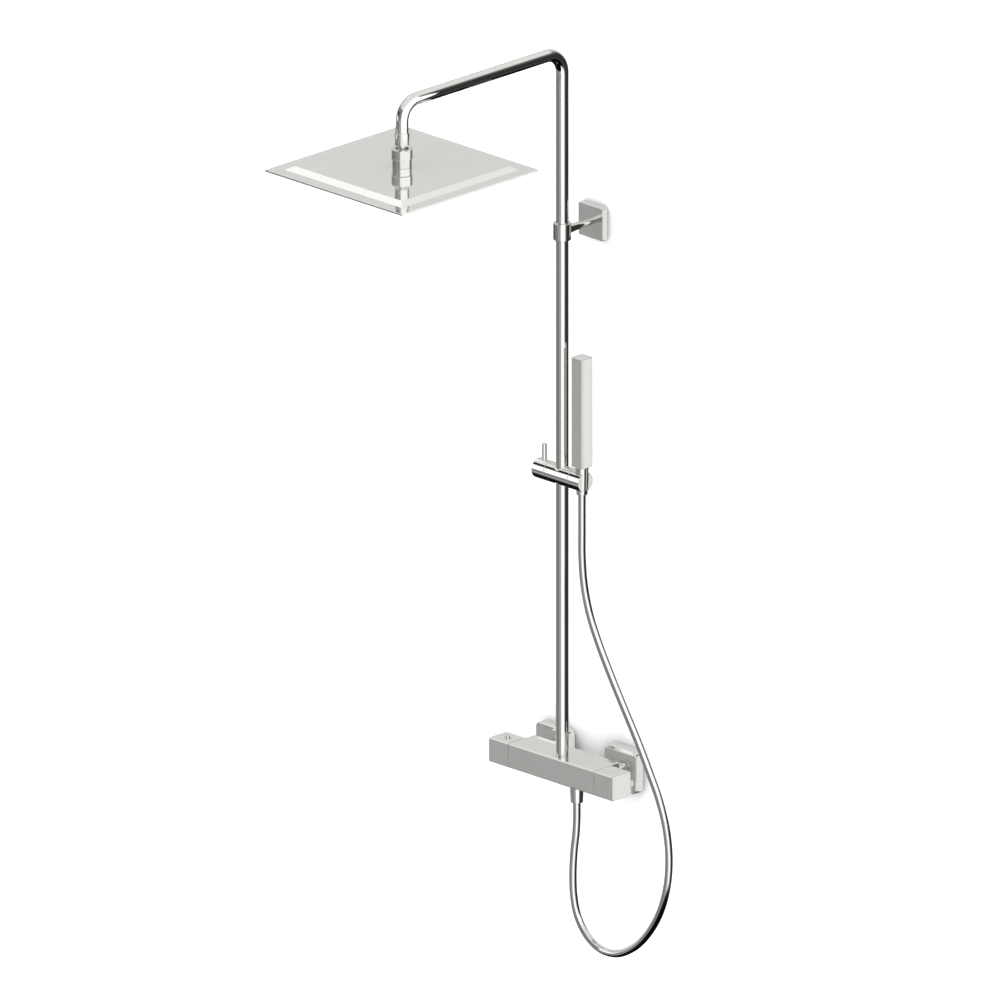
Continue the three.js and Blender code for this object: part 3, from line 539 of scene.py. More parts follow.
def smooth_path(points, per_span):
    """Points along a centripetal Catmull-Rom curve through the given ones."""
    ends = [2 * points[0] - points[1], *points, 2 * points[-1] - points[-2]]
    path = []
    for a, b, c, d in zip(ends, ends[1:], ends[2:], ends[3:]):
        knot_b = (b - a).length ** 0.5
        knot_c = knot_b + (c - b).length ** 0.5
        knot_d = knot_c + (d - c).length ** 0.5
        for step in range(per_span):
            t = knot_b + (knot_c - knot_b) * step / per_span
            ab = a + (b - a) * (t / knot_b)
            bc = b + (c - b) * ((t - knot_b) / (knot_c - knot_b))
            cd = c + (d - c) * ((t - knot_c) / (knot_d - knot_c))
            abc = ab + (bc - ab) * (t / knot_c)
            bcd = bc + (cd - bc) * ((t - knot_b) / (knot_d - knot_b))
            path.append(abc + (bcd - abc) * ((t - knot_b) / (knot_c - knot_b)))
    path.append(points[-1].copy())
    return path


def path_length(path):
    return sum((b - a).length for a, b in zip(path, path[1:]))


def hose_tube(name, path, travelled):
    """A tube along a path that stays in the riser's plane, with UVs that follow its length."""
    mesh = bmesh.new()
    uv = mesh.loops.layers.uv.new("length")
    rings, lengths = [], []
    for i, point in enumerate(path):
        ahead = path[min(i + 1, len(path) - 1)] - path[max(i - 1, 0)]
        outward = ahead.normalized().cross(Y)
        places = circle(point, outward, Y, HOSE_DIAMETER / 2, HOSE_SIDES)
        rings.append([mesh.verts.new(place) for place in places])
        travelled += (point - path[i - 1]).length if i else 0
        lengths.append(travelled)
    for one, other, low, high in zip(rings, rings[1:], lengths, lengths[1:]):
        for k in range(HOSE_SIDES):
            j = (k + 1) % HOSE_SIDES
            face = mesh.faces.new((one[k], one[j], other[j], other[k]))
            turns = (k / HOSE_SIDES, (k + 1) / HOSE_SIDES)
            places = ((turns[0], low), (turns[1], low), (turns[1], high), (turns[0], high))
            for corner, (turn, station) in zip(face.loops, places):
                corner[uv].uv = (turn, station / SPIRAL_PITCH)
    for end in (rings[0], rings[-1]):
        mesh.faces.new(end)
    bmesh.ops.recalc_face_normals(mesh, faces=mesh.faces)
    return put(name, mesh, "hose")


def make_hose():
    """The hose in four sections: from the outlet to the bottom of its loop, up to the slider's
    reach, into the holder's and into the lifted end's. Gives each one's name, path and pieces."""
    points = [Vector((x, RISER.y, MIXER_TOP + height)) for x, height in HOSE_ROUTE]
    per_span = 14
    path = smooth_path(points, per_span)
    marks = [0, LOOP_BOTTOM, SLIDER_START, HOLDER_START, len(points) - 1]
    stops = [int(mark * per_span) for mark in marks]
    made, travelled = [], 0
    for (name, bodies, pieces), first, last in zip(HOSE_SECTIONS, stops, stops[1:]):
        part = path[first:last + 1]
        tube = hose_tube(name, part, travelled)
        travelled += path_length(part)
        made.append((name, part, pieces))
        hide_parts("hose")
        if bodies:
            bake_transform(tube)
        else:
            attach(tube, "column")
    return made


hose_sections = make_hose()


# ---- wall bracket ----

def make_cover(node, corner, inner_corner, edge, edge_steps, corner_steps):
    """A square wall cover, open at the back, with a rounded front edge."""
    low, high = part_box(node)
    half = half_width(node)
    inside = half - COVER_SHEET
    sections = [(inside, inside, inner_corner, low.y + COVER_SHEET),
                (inside, inside, inner_corner, high.y), (half, half, corner, high.y)]
    sections += rounded_end(half, half, corner, low.y, edge, -1, edge_steps)
    stand_for(node, slab("y", middle(node), sections, corner_steps), "soft_chrome")


def make_bracket():
    make_cover("upper_rosette", 2.5 * MM, 1 * MM, 0.7 * MM, 4, 6)

    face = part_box("upper_rosette")[0].y
    centre = middle("clamp_ring")
    radius = half_width("clamp_ring")
    neck, flare = 4.5 * MM, half_width("bracket_rod")
    neck_end, back = face - 4 * MM, centre.y + radius
    outline = [(0, face + COVER_SHEET), (neck, face + COVER_SHEET), (neck, neck_end)]
    flare_steps, flare_curve = 24, 1.4
    for step in range(1, flare_steps + 1):
        share = step / flare_steps
        outline.append((neck + (flare - neck) * share ** flare_curve,
                        neck_end + (back - neck_end) * share))
    trumpet = revolve("y", Vector((0, 0, 0)), [*outline, (flare, centre.y), (0, centre.y)])
    saddle = cylinder("z", centre, radius - 0.1 * MM, -0.05, 0.05, SEGMENTS)
    stand_for("bracket_rod", boolean("DIFFERENCE", trumpet, saddle))

    low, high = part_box("clamp_ring")
    bore = TUBE_RADIUS + GAP
    clamp = ring("z", centre, [(bore, low.z), (radius, low.z), (radius, high.z), (bore, high.z)],
                 0.5 * MM)
    grub_hole = cylinder("x", centre, 2.3 * MM, low.x - 1 * MM, centre.x)
    stand_for("clamp_ring", boolean("DIFFERENCE", clamp, grub_hole))


# ---- riser and arm ----

def make_lower_riser():
    low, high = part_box("lower_riser")
    corners = [(TUBE_BORE, low.z), (TUBE_RADIUS, low.z), (TUBE_RADIUS, high.z), (TUBE_BORE, high.z)]
    stand_for("lower_riser", ring("z", RISER, corners, 0.2 * MM))


def arm_path():
    """Points and directions of the upper riser: up, over a bend, out and down over another."""
    low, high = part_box("upper_riser")
    axis_z = high.z - TUBE_RADIUS
    reach = low.y + TUBE_RADIUS
    riser_bend, arm_bend = 0.035, 0.03
    bend_steps = 28
    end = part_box("arm_end_sleeve")[0].z + 6 * MM
    stations = [(Vector((0, RISER.y, low.z)), Z)]
    for centre_y, bend, start in ((RISER.y - riser_bend, riser_bend, 0),
                                  (reach + arm_bend, arm_bend, math.pi / 2)):
        centre = Vector((0, centre_y, axis_z - bend))
        for step in range(bend_steps + 1):
            angle = start + math.pi / 2 * step / bend_steps
            out = Vector((0, math.cos(angle), math.sin(angle)))
            stations.append((centre + out * bend,
                             Vector((0, -math.sin(angle), math.cos(angle)))))
    stations.append((Vector((0, reach, end)), -Z))
    return stations


def make_upper_riser():
    stations = arm_path()
    loops = []
    for radius, run in ((TUBE_RADIUS, stations), (TUBE_BORE, stations[::-1])):
        for point, direction in run:
            loops.append(circle(point, X, X.cross(direction), radius, SEGMENTS))
    stand_for("upper_riser", skin(loops, closed=True))


# ---- rain head ----

def make_head_joint():
    low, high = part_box("arm_end_sleeve")
    centre = middle("arm_end_sleeve")
    radius = half_width("arm_end_sleeve")
    tube_radius = TUBE_RADIUS + 0.15 * MM
    seat = low.z + 5.5 * MM
    outline = soften([(0, low.z), (radius, low.z), (radius, high.z), (tube_radius, high.z),
                      (tube_radius, seat), (0, seat)], 0.6 * MM)
    stand_for("arm_end_sleeve", revolve("z", centre, outline))

    low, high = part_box("swivel_nut")
    radius = half_width("swivel_nut")
    lip, cup = 10.4 * MM, 14.3 * MM
    corners = [(cup, low.z), (radius, low.z), (radius, high.z), (lip, high.z, 0.3 * MM),
               (lip, high.z - 4 * MM), (cup, high.z - 6 * MM)]
    stand_for("swivel_nut", ring("z", centre, corners, 0.7 * MM))

    shoulder = low.z - GAP
    low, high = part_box("head_boss")
    radius = half_width("head_boss")
    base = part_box("head_top_plate")[1].z + 0.1 * MM
    waterway, spigot, neck = 7 * MM, 9 * MM, 14 * MM
    corners = [(waterway, low.z), (spigot, low.z), (spigot, base, 0), (radius, base),
               (radius, shoulder), (neck, shoulder), (neck, high.z), (12.3 * MM, high.z),
               (9.2 * MM, shoulder), (waterway, shoulder - 1 * MM)]
    stand_for("head_boss", ring("z", centre, corners, 0.5 * MM))


def square_skin(outline):
    """A square body about the head's centre, from (half side, height) points, with mitred
    corners."""
    loops = []
    for half, height in outline:
        if half < TINY:
            loops.append([Vector((HEAD.x, HEAD.y, height))])
        else:
            loops.append([Vector((HEAD.x + x * half, HEAD.y + y * half, height))
                          for x, y in ((1, 1), (-1, 1), (-1, -1), (1, -1))])
    return skin(loops)


def make_head_shell():
    low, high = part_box("head_top_plate")
    half = half_width("head_top_plate")
    rim, rise, sheet, fold = 21 * MM, 12 * MM, 1.5 * MM, 1.2 * MM
    rim_top = low.z + sheet
    outer = half - rim
    plateau = outer - rise
    outline = soften([
        (0, high.z - sheet), (plateau - 0.5 * MM, high.z - sheet, fold),
        (outer - 0.5 * MM, low.z, fold), (half, low.z, 0.2 * MM),
        (half, rim_top, 0.4 * MM), (outer, rim_top, fold), (plateau, high.z, fold),
        (0, high.z)], fold, 3)
    stand_for("head_top_plate", square_skin(outline), "soft_chrome", math.radians(12))


NOZZLE_ROWS = 14
NOZZLE_PITCH = 17 * MM
NOZZLE_HOLE = 2.9 * MM
NOZZLE_SIDES = 16


def nozzle_places():
    first = -(NOZZLE_ROWS - 1) / 2 * NOZZLE_PITCH
    steps = [first + i * NOZZLE_PITCH for i in range(NOZZLE_ROWS)]
    return [(HEAD.x + x, HEAD.y + y) for x in steps for y in steps]


def pierced_plate(low, high, places):
    """A plate with a round hole in each square cell of its grid, and a plain margin."""
    mesh = bmesh.new()

    def add_face(*points):
        mesh.faces.new([mesh.verts.new(point) for point in points])

    def add_wall(start, end):
        add_face((*start, low.z), (*end, low.z), (*end, high.z), (*start, high.z))

    half_cell, quarter = NOZZLE_PITCH / 2, NOZZLE_SIDES // 4
    angles = [2 * math.pi * (i + 0.5) / NOZZLE_SIDES for i in range(NOZZLE_SIDES)]
    for x, y in places:
        hole = [(x + NOZZLE_HOLE * math.cos(a), y + NOZZLE_HOLE * math.sin(a)) for a in angles]
        cell = [(x + right * half_cell, y + back * half_cell)
                for right, back in ((1, -1), (1, 1), (-1, 1), (-1, -1))]
        for side in range(4):
            first = side * quarter - quarter // 2
            arc = [hole[(first + k) % NOZZLE_SIDES] for k in range(quarter, -1, -1)]
            for height in (low.z, high.z):
                outline = (cell[side], cell[(side + 1) % 4], *arc)
                add_face(*[(*point, height) for point in outline])
        for start, end in zip(hole, hole[1:] + hole[:1]):
            add_wall(start, end)
    lines = [half_cell * k for k in range(-NOZZLE_ROWS, NOZZLE_ROWS + 1, 2)]
    xs, ys = [HEAD.x + line for line in lines], [HEAD.y + line for line in lines]
    corners = [(low.x, low.y), (high.x, low.y), (high.x, high.y), (low.x, high.y)]
    inner_edges = [[(x, ys[0]) for x in reversed(xs)], [(xs[-1], y) for y in reversed(ys)],
                   [(x, ys[-1]) for x in xs], [(xs[0], y) for y in ys]]
    for start, end, inner in zip(corners, corners[1:] + corners[:1], inner_edges):
        add_wall(start, end)
        for height in (low.z, high.z):
            add_face(*[(*point, height) for point in (start, end, *inner)])
    bmesh.ops.remove_doubles(mesh, verts=mesh.verts, dist=1e-5)
    bmesh.ops.recalc_face_normals(mesh, faces=mesh.faces)
    return mesh


def nozzle(x, y, top, bottom, axis="z"):
    """A tapered silicone nozzle with its outlet, hanging from `top` to `bottom`."""
    root, tip, outlet = 2.7 * MM, 1.5 * MM, 0.6 * MM
    length = bottom - top
    sign = 1 if length > 0 else -1
    outline = [(0, top), (root, top), (root, top + 0.35 * length),
               (root - 0.5 * MM, top + 0.5 * length), (tip, bottom - sign * 0.2 * MM),
               (tip - 0.25 * MM, bottom), (outlet, bottom), (outlet, bottom - sign * 0.8 * MM),
               (0, bottom - sign * 0.8 * MM)]
    centre = Vector((x, y, 0)) if axis == "z" else Vector((x, 0, y))
    return revolve(axis, centre, outline, NOZZLE_SIDES)


def make_head_face():
    low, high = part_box("head_face_plate")
    places = nozzle_places()
    stand_for("head_face_plate", pierced_plate(low, high, places))
    mat_low, mat_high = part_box("nozzle_mat")
    proud = 2.2 * MM
    mat = [block(mat_low, mat_high)]
    mat += [nozzle(x, y, mat_low.z + 0.5 * MM, low.z - proud) for x, y in places]
    stand_for("nozzle_mat", gather(mat), "silicone")


# ---- mixer ----

def long_bar(node, opening=0):
    """A bar along X with chamfered long edges and finely rounded ends. `opening` is the end, +1
    or -1, that is open, as on a knob."""
    low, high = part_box(node)
    half_y, half_z = (high.y - low.y) / 2, (high.z - low.z) / 2
    chamfer, edge, sheet = 2 * MM, 0.35 * MM, 2.5 * MM
    sections = rounded_end(half_y, half_z, chamfer, low.x, edge, -1, 2)[::-1]
    sections += rounded_end(half_y, half_z, chamfer, high.x, edge, 1, 2)
    inner = (half_y - sheet, half_z - sheet, 0.5 * MM)
    if opening > 0:
        sections = [*sections, (*inner, high.x), (*inner, low.x + sheet)]
    elif opening < 0:
        sections = [(*inner, high.x - sheet), (*inner, low.x), *sections]
    return slab("x", (low + high) / 2, sections, 1)


def make_mixer():
    stand_for("mixer_body", long_bar("mixer_body"), "soft_chrome")
    button = middle("safety_button")
    knob_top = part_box("temperature_knob")[1].z
    hole = cylinder("z", button, 4.3 * MM, knob_top - 8 * MM, knob_top + 5 * MM, 48)
    knob = boolean("DIFFERENCE", long_bar("temperature_knob", opening=1), hole)
    stand_for("temperature_knob", knob, "soft_chrome")
    stand_for("flow_knob", long_bar("flow_knob", opening=-1), "soft_chrome")

    low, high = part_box("safety_button")
    stem, flange, cap = 2 * MM, 5.2 * MM, 4 * MM
    flange_low, flange_high = low.z + 3.2 * MM, low.z + 4.7 * MM
    outline = soften([(0, low.z), (stem, low.z), (stem, flange_low), (flange, flange_low),
                      (flange, flange_high), (cap, flange_high), (cap, high.z, 0.8 * MM),
                      (3 * MM, high.z - 0.1 * MM), (0, high.z - 0.25 * MM)], 0.2 * MM)
    stand_for("safety_button", revolve("z", button, outline, 64))
    make_button_spring()


def make_button_spring():
    """A coil spring under the button."""
    low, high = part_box("button_spring")
    centre = middle("button_spring")
    coil = 3.1 * MM
    wire = half_width("button_spring") - coil
    turns, steps_per_turn, sides = 5, 24, 10
    loops = []
    for step in range(turns * steps_per_turn + 1):
        share = step / (turns * steps_per_turn)
        angle = 2 * math.pi * turns * share
        out = Vector((math.cos(angle), math.sin(angle), 0))
        rise = low.z + wire + (high.z - low.z - 2 * wire) * share
        place = Vector((centre.x, centre.y, rise)) + out * coil
        loops.append(circle(place, out, Z, wire, sides))
    spring = stand_for("button_spring", skin(loops), "steel")
    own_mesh(spring)


def make_inlet(side):
    cover, nut, union = f"inlet_rosette_{side}", f"inlet_nut_{side}", f"inlet_union_{side}"
    centre = middle(cover)
    make_cover(cover, 9 * MM, 7 * MM, 1.6 * MM, 6, 12)

    low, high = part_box(nut)
    radius = half_width(nut)
    bore, flange, lip = 7.8 * MM, 10.5 * MM, low.y + 2.5 * MM
    corners = [(flange, high.y), (radius, high.y), (radius, low.y), (bore, low.y), (bore, lip),
               (flange, lip)]
    stand_for(nut, ring("y", centre, corners, 0.8 * MM))

    low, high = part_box(union)
    neck, waterway, pitch = 10 * MM, 6.5 * MM, 1.814 * MM
    neck_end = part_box(cover)[1].y - 10 * MM
    smooth_neck = revolve("y", centre, [
        (waterway, neck_end), (waterway, low.y), (neck, low.y), (neck, neck_end),
        (waterway, neck_end)], 64)
    screwed = thread("y", centre, half_width(union), waterway, 0.9 * MM, pitch,
                     neck_end + 0.1 * MM, high.y, 48)
    stand_for(union, gather([smooth_neck, screwed]))


def make_outlet_nut():
    low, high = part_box("hose_lower_nut")
    top = half_width("hose_lower_nut")
    mouth = HOSE_DIAMETER / 2 + 0.2 * MM
    corners = [(mouth, low.z), (top - 1 * MM, low.z), (top, high.z), (mouth, high.z)]
    stand_for("hose_lower_nut", ring("z", middle("hose_lower_nut"), corners, 0.5 * MM))


# ---- slider ----

def make_slider():
    low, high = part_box("slider_body")
    radius = (high.z - low.z) / 2
    axis = Vector((0, SLIDER.y, (low.z + high.z) / 2))
    bush_radius = half_width("slider_bush")
    spindle, screw = 4 * MM, 3 * MM
    past = 5 * MM
    bore = cylinder("z", SLIDER, bush_radius + GAP, low.z - past, high.z + past, SEGMENTS)
    spindle_hole = cylinder("x", axis, spindle + GAP, low.x - 1 * MM, SLIDER.x)
    screw_hole = cylinder("x", axis, screw + GAP, SLIDER.x + 1 * MM, high.x + 1 * MM)
    body = rod("x", axis, radius, low.x, high.x, BAR_EDGE, BAR_SEGMENTS)
    stand_for("slider_body", boolean("DIFFERENCE", body, bore, spindle_hole, screw_hole))

    inner = TUBE_RADIUS + GAP
    bush = revolve("z", SLIDER, [(inner, low.z), (bush_radius, low.z), (bush_radius, high.z),
                                 (inner, high.z), (inner, low.z)])
    clip = cylinder("x", axis, radius - 0.5 * MM, low.x, high.x, SEGMENTS)
    stand_for("slider_bush", boolean("INTERSECT", bush, clip), "plastic")

    face = low.x - GAP
    low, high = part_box("lock_knob")
    outline = soften([(0, low.x), (radius, low.x, 0.8 * MM), (radius, face), (spindle, face),
                      (spindle, high.x), (0, high.x)], 0.4 * MM)
    stand_for("lock_knob", revolve("x", axis, outline, BAR_SEGMENTS))

    low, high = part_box("lock_lever")
    lever = rod("z", middle("lock_lever"), half_width("lock_lever"), low.z, high.z, 0.6 * MM, 64)
    stand_for("lock_lever", lever, "soft_chrome")


def make_holder():
    low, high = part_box("handset_holder")
    centre = middle("handset_holder")
    nut_low, nut_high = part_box("hose_cone_nut")
    nut = middle("hose_cone_nut")
    top = half_width("hose_cone_nut")
    slope = CONE_TAPER / (nut_high.z - nut_low.z)
    reach = 12 * MM
    bottom_radius = top - CONE_TAPER + slope * (low.z - reach - nut_low.z) + GAP
    top_radius = top + slope * (high.z + reach - nut_high.z) + GAP
    seat = revolve("z", nut, [(0, low.z - reach), (bottom_radius, low.z - reach),
                              (top_radius, high.z + reach), (0, high.z + reach)])
    half_slot = HOSE_DIAMETER / 2 + 0.7 * MM
    slot = block((nut.x, centre.y - half_slot, low.z - reach),
                 (high.x + reach, centre.y + half_slot, high.z + reach))
    bar = rod("x", Vector((0, centre.y, centre.z)), (high.z - low.z) / 2, low.x, high.x, BAR_EDGE,
              BAR_SEGMENTS)
    stand_for("handset_holder", boolean("DIFFERENCE", bar, seat, slot))


# ---- handset ----

def make_handset():
    low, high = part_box("handset_body")
    half = half_width("handset_body")
    corner, edge = 2 * MM, 0.8 * MM
    sections = rounded_end(half, half, corner, low.z, edge, -1)[::-1]
    sections += rounded_end(half, half, corner, high.z, edge, 1)
    plate_low, plate_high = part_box("handset_spray_plate")
    recess = block((plate_low.x - GAP, plate_low.y - GAP, plate_low.z - GAP),
                   (plate_high.x + GAP, high.y + 1 * MM, plate_high.z + GAP))
    body = boolean("DIFFERENCE", slab("z", HANDSET, sections), recess)
    stand_for("handset_body", body, "soft_chrome")

    rows, columns = 16, 2
    pitch_z = (plate_high.z - plate_low.z) / rows
    pitch_x = (plate_high.x - plate_low.x) / columns
    plate = [bevel_edges(block(plate_low, plate_high - Vector((0, 0.6 * MM, 0))), 0.3 * MM)]
    for row in range(rows):
        for column in range(columns):
            x = plate_low.x + (column + 0.5) * pitch_x
            z = plate_low.z + (row + 0.5) * pitch_z
            plate.append(nozzle(x, z, plate_high.y - 1.2 * MM, plate_high.y + 0.8 * MM, "y"))
    stand_for("handset_spray_plate", gather(plate), "silicone")

    low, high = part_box("hose_cone_nut")
    top = half_width("hose_cone_nut")
    mouth = HOSE_DIAMETER / 2 - 0.5 * MM
    socket, floor = 8.2 * MM, high.z - 12 * MM
    corners = [(mouth, low.z), (top - CONE_TAPER, low.z), (top, high.z), (socket, high.z),
               (socket, floor), (mouth, floor)]
    stand_for("hose_cone_nut", ring("z", middle("hose_cone_nut"), corners, 0.5 * MM))


# ---- hidden pieces ----

CAD_FINISH = {m["node"]: m["material_slot"] for m in frame["record"]["subparts"]}


def finish_cad_nodes():
    """The pieces inside keep their CAD shape, with a material of their own finish."""
    for name, node in frame["nodes"].items():
        node.data.materials.clear()
        node.data.materials.append(FINISHES[CAD_FINISH[name]])


# ---- stage ----

def flat_sheet(name, material, corner, along, up):
    """A flat sheet from one corner along its two sides. Its front faces `along` cross `up`."""
    corner, along, up = Vector(corner), Vector(along), Vector(up)
    corners = [corner, corner + along, corner + along + up, corner + up]
    data = bpy.data.meshes.new(name)
    data.from_pydata([tuple(c) for c in corners], [], [(0, 1, 2, 3)])
    data.materials.append(material)
    item = add_object(name, data)
    return item


def card(name, level, corner, along, up):
    """A card with its own light that only reflections see."""
    material = bpy.data.materials.new(name)
    material.use_nodes = True
    tree = material.node_tree
    tree.nodes.remove(tree.nodes["Principled BSDF"])
    light = add_node(tree, "ShaderNodeEmission", Strength=level)
    tree.links.new(light.outputs["Emission"], tree.nodes["Material Output"].inputs["Surface"])
    item = flat_sheet(name, material, corner, along, up)
    item.visible_camera = False
    item.visible_diffuse = False
    item.visible_shadow = False
    return item


def mix_shaders(tree, share, first, second, target):
    mix = add_node(tree, "ShaderNodeMixShader")
    for source, socket in zip((share, first, second), mix.inputs):
        tree.links.new(source, socket)
    tree.links.new(mix.outputs["Shader"], target)


def one_sided(item):
    """Lets a sheet be seen only from its front."""
    tree = item.data.materials[0].node_tree
    out = tree.nodes["Material Output"].inputs["Surface"]
    facing = add_node(tree, "ShaderNodeNewGeometry")
    clear = add_node(tree, "ShaderNodeBsdfTransparent")
    mix_shaders(tree, facing.outputs["Backfacing"], out.links[0].from_socket,
                clear.outputs["BSDF"], out)


def fill_card(node):
    """A card on the wall where the viewer sees it mirrored in a node's right-hand face."""
    low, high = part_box(node)
    drop = math.tan(VIEW_ELEVATION) / math.cos(VIEW_AZIMUTH)
    depth, margin = high.y - low.y, 3 * MM
    card(f"fill_card_{node}", 0.92,
         (high.x - high.y - margin, -0.0004, low.z + high.y * drop - margin),
         (depth + 2 * margin, 0, -depth * drop), (0, 0, high.z - low.z + 2 * margin))


def upright_card(name, level, start, end, heights):
    """An upright card between two places seen from above."""
    card(name, level, (*start, heights[0]), (end[0] - start[0], end[1] - start[1], 0),
         (0, 0, heights[1] - heights[0]))


def around(centre, azimuth, distance):
    """A place at a compass angle and a distance from another, seen from above."""
    angle = math.radians(azimuth)
    return (centre.x + distance * math.cos(angle), centre.y + distance * math.sin(angle))


def make_softboxes():
    """Bright cards: on the wall, high in front on the left, and to the right of the head."""
    for node in ("handset_body", "handset_holder", "flow_knob", "upper_rosette",
                 "inlet_rosette_left", "inlet_rosette_right"):
        fill_card(node)
    upright_card("front_left_softbox", 1.4, around(RISER, -125, 6), around(RISER, -147, 6),
                 (-1.05, 2.75))
    upright_card("head_softbox", 1.4, (0.25, -0.60), (0.25, -0.14), (-0.10, 0.60))


def make_head_flag():
    """A dark card to the left of the head, which its nut sees mirrored in the head's top."""
    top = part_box("head_top_plate")[1].z
    distance = 0.5
    upright_card("head_flag", 0.06, around(HEAD, -120, distance), around(HEAD, -180, distance),
                 (top + 0.10, top + 0.27))


def make_ring_flag():
    """A dark strip to the left of the ring, which gives it a dark lower half."""
    centre = middle("clamp_ring")
    x = -0.2
    upright_card("ring_flag", 0.08, (x, centre.y - 0.11), (x, centre.y + 0.01),
                 (centre.z - 0.084, centre.z - 0.054))


def make_arm_card():
    """A card above and behind the arm, seen only from below."""
    low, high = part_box("upper_riser")
    left, right = -0.20, 0.085
    front, back = low.y + 0.09, high.y + 0.14
    one_sided(card("arm_card", 0.95, (left, front, high.z + 0.155), (0, back - front, 0),
                   (right - left, 0, 0)))


def make_rod_flag():
    """A dark card beside the bracket's rod, seen only from the rod."""
    rosette_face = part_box("upper_rosette")[0].y
    x, half_height = 0.015, 0.022
    front, back = rosette_face - 0.042, rosette_face - 0.006
    one_sided(card("rod_flag", 0.04, (x, front, middle("bracket_rod").z - half_height),
                   (0, 0, 2 * half_height), (0, back - front, 0)))


def make_mixer_back_card():
    """A dim glowing grey card on the mixer's back, seen only from the wall: a painted reflection of
    the mixer's back in the inlet covers.
    """
    low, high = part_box("mixer_body")
    left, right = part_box("temperature_knob")[0].x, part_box("flow_knob")[1].x
    one_sided(card("mixer_back_card", 0.32, (left, high.y + 0.3 * MM, low.z),
                   (0, 0, high.z - low.z), (right - left, 0, 0)))


def make_slider_flag():
    """A black strip above the slider's front, seen only from below."""
    axis = middle("lock_knob")
    towards, across = Vector((0, -0.541, 0.841)), Vector((0, 0.841, 0.541))
    distance, half_width = 0.446, 0.075
    left, right = -0.52, -0.30
    centre = Vector((left, axis.y, axis.z)) + towards * distance
    one_sided(card("slider_flag", 0, centre - across * half_width, across * (2 * half_width),
                   (right - left, 0, 0)))


# Soft-edged patches of the studio that the chrome reflects, laid over one another in this order:
# compass angle of the centre and half width (0 is +X, 90 is into the wall), elevation of the
# centre and half height, softness of the edges, all in degrees, and brightness.
STUDIO_BASE = 0.225
STUDIO = [
    (0, 181, 66, 30, 4, 0.95),           # bright ceiling
    (150, 62, 18, 24, 6, 0.70),          # wall on the left
    (-172, 14, -19, 12, 10, 0.42),       # end of that wall
    (168, 10, 47, 6, 3, 1.2),            # lamp above it
    (104, 28, 47, 8, 5, 0.76),           # wall behind, under the ceiling
    (-88, 16, -19, 14, 8, 0.42),         # grey card in front
    (-142, 14, -27, 5, 4, 0.45),         # grey card low on the left
    (-35, 29, 0, 40, 14, 1.4),           # key light in front on the right
    (-13, 50, 24, 17, 6, 1.4),           # its upper, wider part
    (50, 42, -8, 30, 12, 0.04),          # black flag behind on the right
    (0, 181, -68, 30, 4, 0.003),         # dark floor
]


def window(tree, distance, half, softness):
    """1 within an angle and 0 beyond it, with a soft edge."""
    node = add_node(tree, "ShaderNodeMapRange", Value=distance,
                    From_Min=math.radians(half + softness), From_Max=math.radians(half - softness))
    node.interpolation_type = "SMOOTHSTEP"
    return node.outputs["Result"]


def studio_level(tree, azimuth, elevation):
    level = compute(tree, "ADD", STUDIO_BASE, 0)
    for turn, half_turn, height, half_height, softness, brightness in STUDIO:
        turned = compute(tree, "SUBTRACT", azimuth, math.radians(turn))
        turned = compute(tree, "ARCCOSINE", compute(tree, "COSINE", turned))
        raised = compute(tree, "SUBTRACT", elevation, math.radians(height))
        raised = compute(tree, "ABSOLUTE", raised)
        share = compute(tree, "MULTIPLY", window(tree, turned, half_turn, softness),
                        window(tree, raised, half_height, softness))
        change = compute(tree, "SUBTRACT", brightness, level)
        level = compute(tree, "MULTIPLY_ADD", change, share, level)
    return level


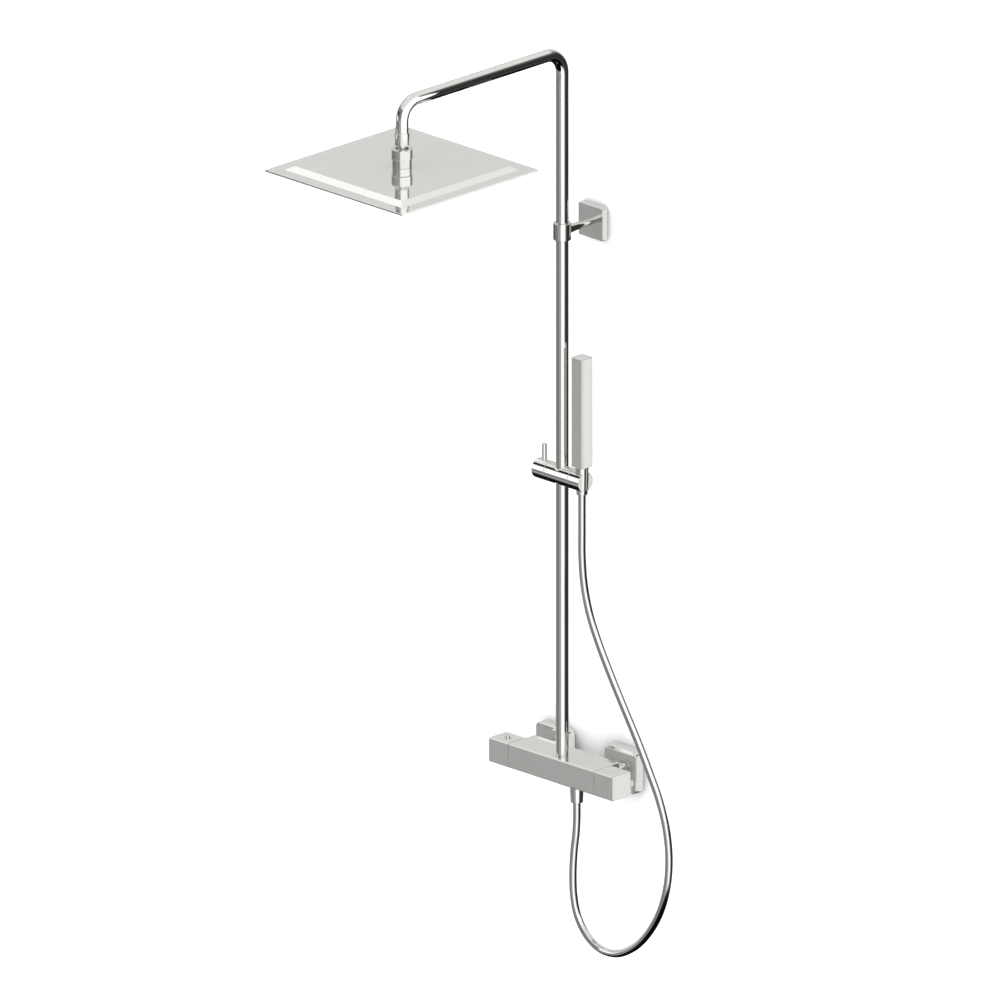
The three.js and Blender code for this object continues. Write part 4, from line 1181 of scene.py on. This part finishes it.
def make_world():
    """Reflections see the studio, and everything else sees plain white."""
    world = bpy.data.worlds.new("studio")
    bpy.context.scene.world = world
    world.use_nodes = True
    tree = world.node_tree
    place = add_node(tree, "ShaderNodeTexCoord")
    split = add_node(tree, "ShaderNodeSeparateXYZ", Vector=place.outputs["Generated"])
    azimuth = compute(tree, "ARCTAN2", split.outputs["Y"], split.outputs["X"])
    elevation = compute(tree, "ARCSINE", split.outputs["Z"])
    level = studio_level(tree, azimuth, elevation)
    mirrored = add_node(tree, "ShaderNodeBackground", Color=WHITE, Strength=level)
    plain = tree.nodes["Background"]
    plain.inputs["Color"].default_value = WHITE
    plain.inputs["Strength"].default_value = 1.3
    path = add_node(tree, "ShaderNodeLightPath")
    mix_shaders(tree, path.outputs["Is Glossy Ray"], plain.outputs["Background"],
                mirrored.outputs["Background"], tree.nodes["World Output"].inputs["Surface"])


def backdrop(name, corner, along, up):
    """A pale matt sheet with a little light of its own, with painted shade where a piece stands
    close to it.
    """
    material, surface = set_up_material(name, 0, 0.9)
    surface.inputs["Specular IOR Level"].default_value = 0
    surface.inputs["Emission Color"].default_value = WHITE
    links = material.node_tree.links
    # Painted shade: ambient occlusion within 45 mm darkens the sheet's colour and its glow near the
    # pieces.
    painted_shade_ao = add_node(material.node_tree, "ShaderNodeAmbientOcclusion", Distance=0.045)
    painted_shade_ao.samples = 16
    open_share, darkest = painted_shade_ao.outputs["AO"], 0.25
    links.new(spread(material, open_share, 0.28, 0.9, darkest), surface.inputs["Base Color"])
    links.new(spread(material, open_share, 0, 0.17, darkest), surface.inputs["Emission Strength"])
    item = flat_sheet(name, material, corner, along, up)
    item.visible_glossy = False
    one_sided(item)


def make_backdrops():
    floor = MIXER_TOP - FLOOR_DEPTH
    reach, height = 7, 3
    wall_y = 0.3 * MM
    across = (2 * reach, 0, 0)
    backdrop("wall", (-reach, wall_y, floor), across, (0, 0, height - floor))
    backdrop("floor", (-reach, -reach, floor), across, (0, 2 * reach, 0))


def key_light(name, place, target, size, power):
    light = bpy.data.lights.new(name, "AREA")
    light.shape = "SQUARE"
    light.size = size
    light.energy = power
    item = add_object(name, light)
    item.location = place
    item.rotation_mode = "QUATERNION"
    item.rotation_quaternion = (Vector(target) - Vector(place)).to_track_quat("-Z", "Y")
    item.visible_glossy = False


def make_stage():
    make_backdrops()
    make_softboxes()
    make_ring_flag()
    make_slider_flag()
    make_head_flag()
    make_arm_card()
    make_rod_flag()
    make_mixer_back_card()
    key_light("key_light", place=(-1.6, -2.4, 1.4), target=(0, 0, -0.4), size=1.6, power=25)
    make_world()
    bpy.context.scene.view_settings.view_transform = "Standard"


make_bracket()
make_lower_riser()
make_upper_riser()
make_head_joint()
make_head_shell()
make_head_face()
make_mixer()
for side in ("left", "right"):
    make_inlet(side)
make_outlet_nut()
make_slider()
make_holder()
make_handset()
finish_cad_nodes()
make_stage()
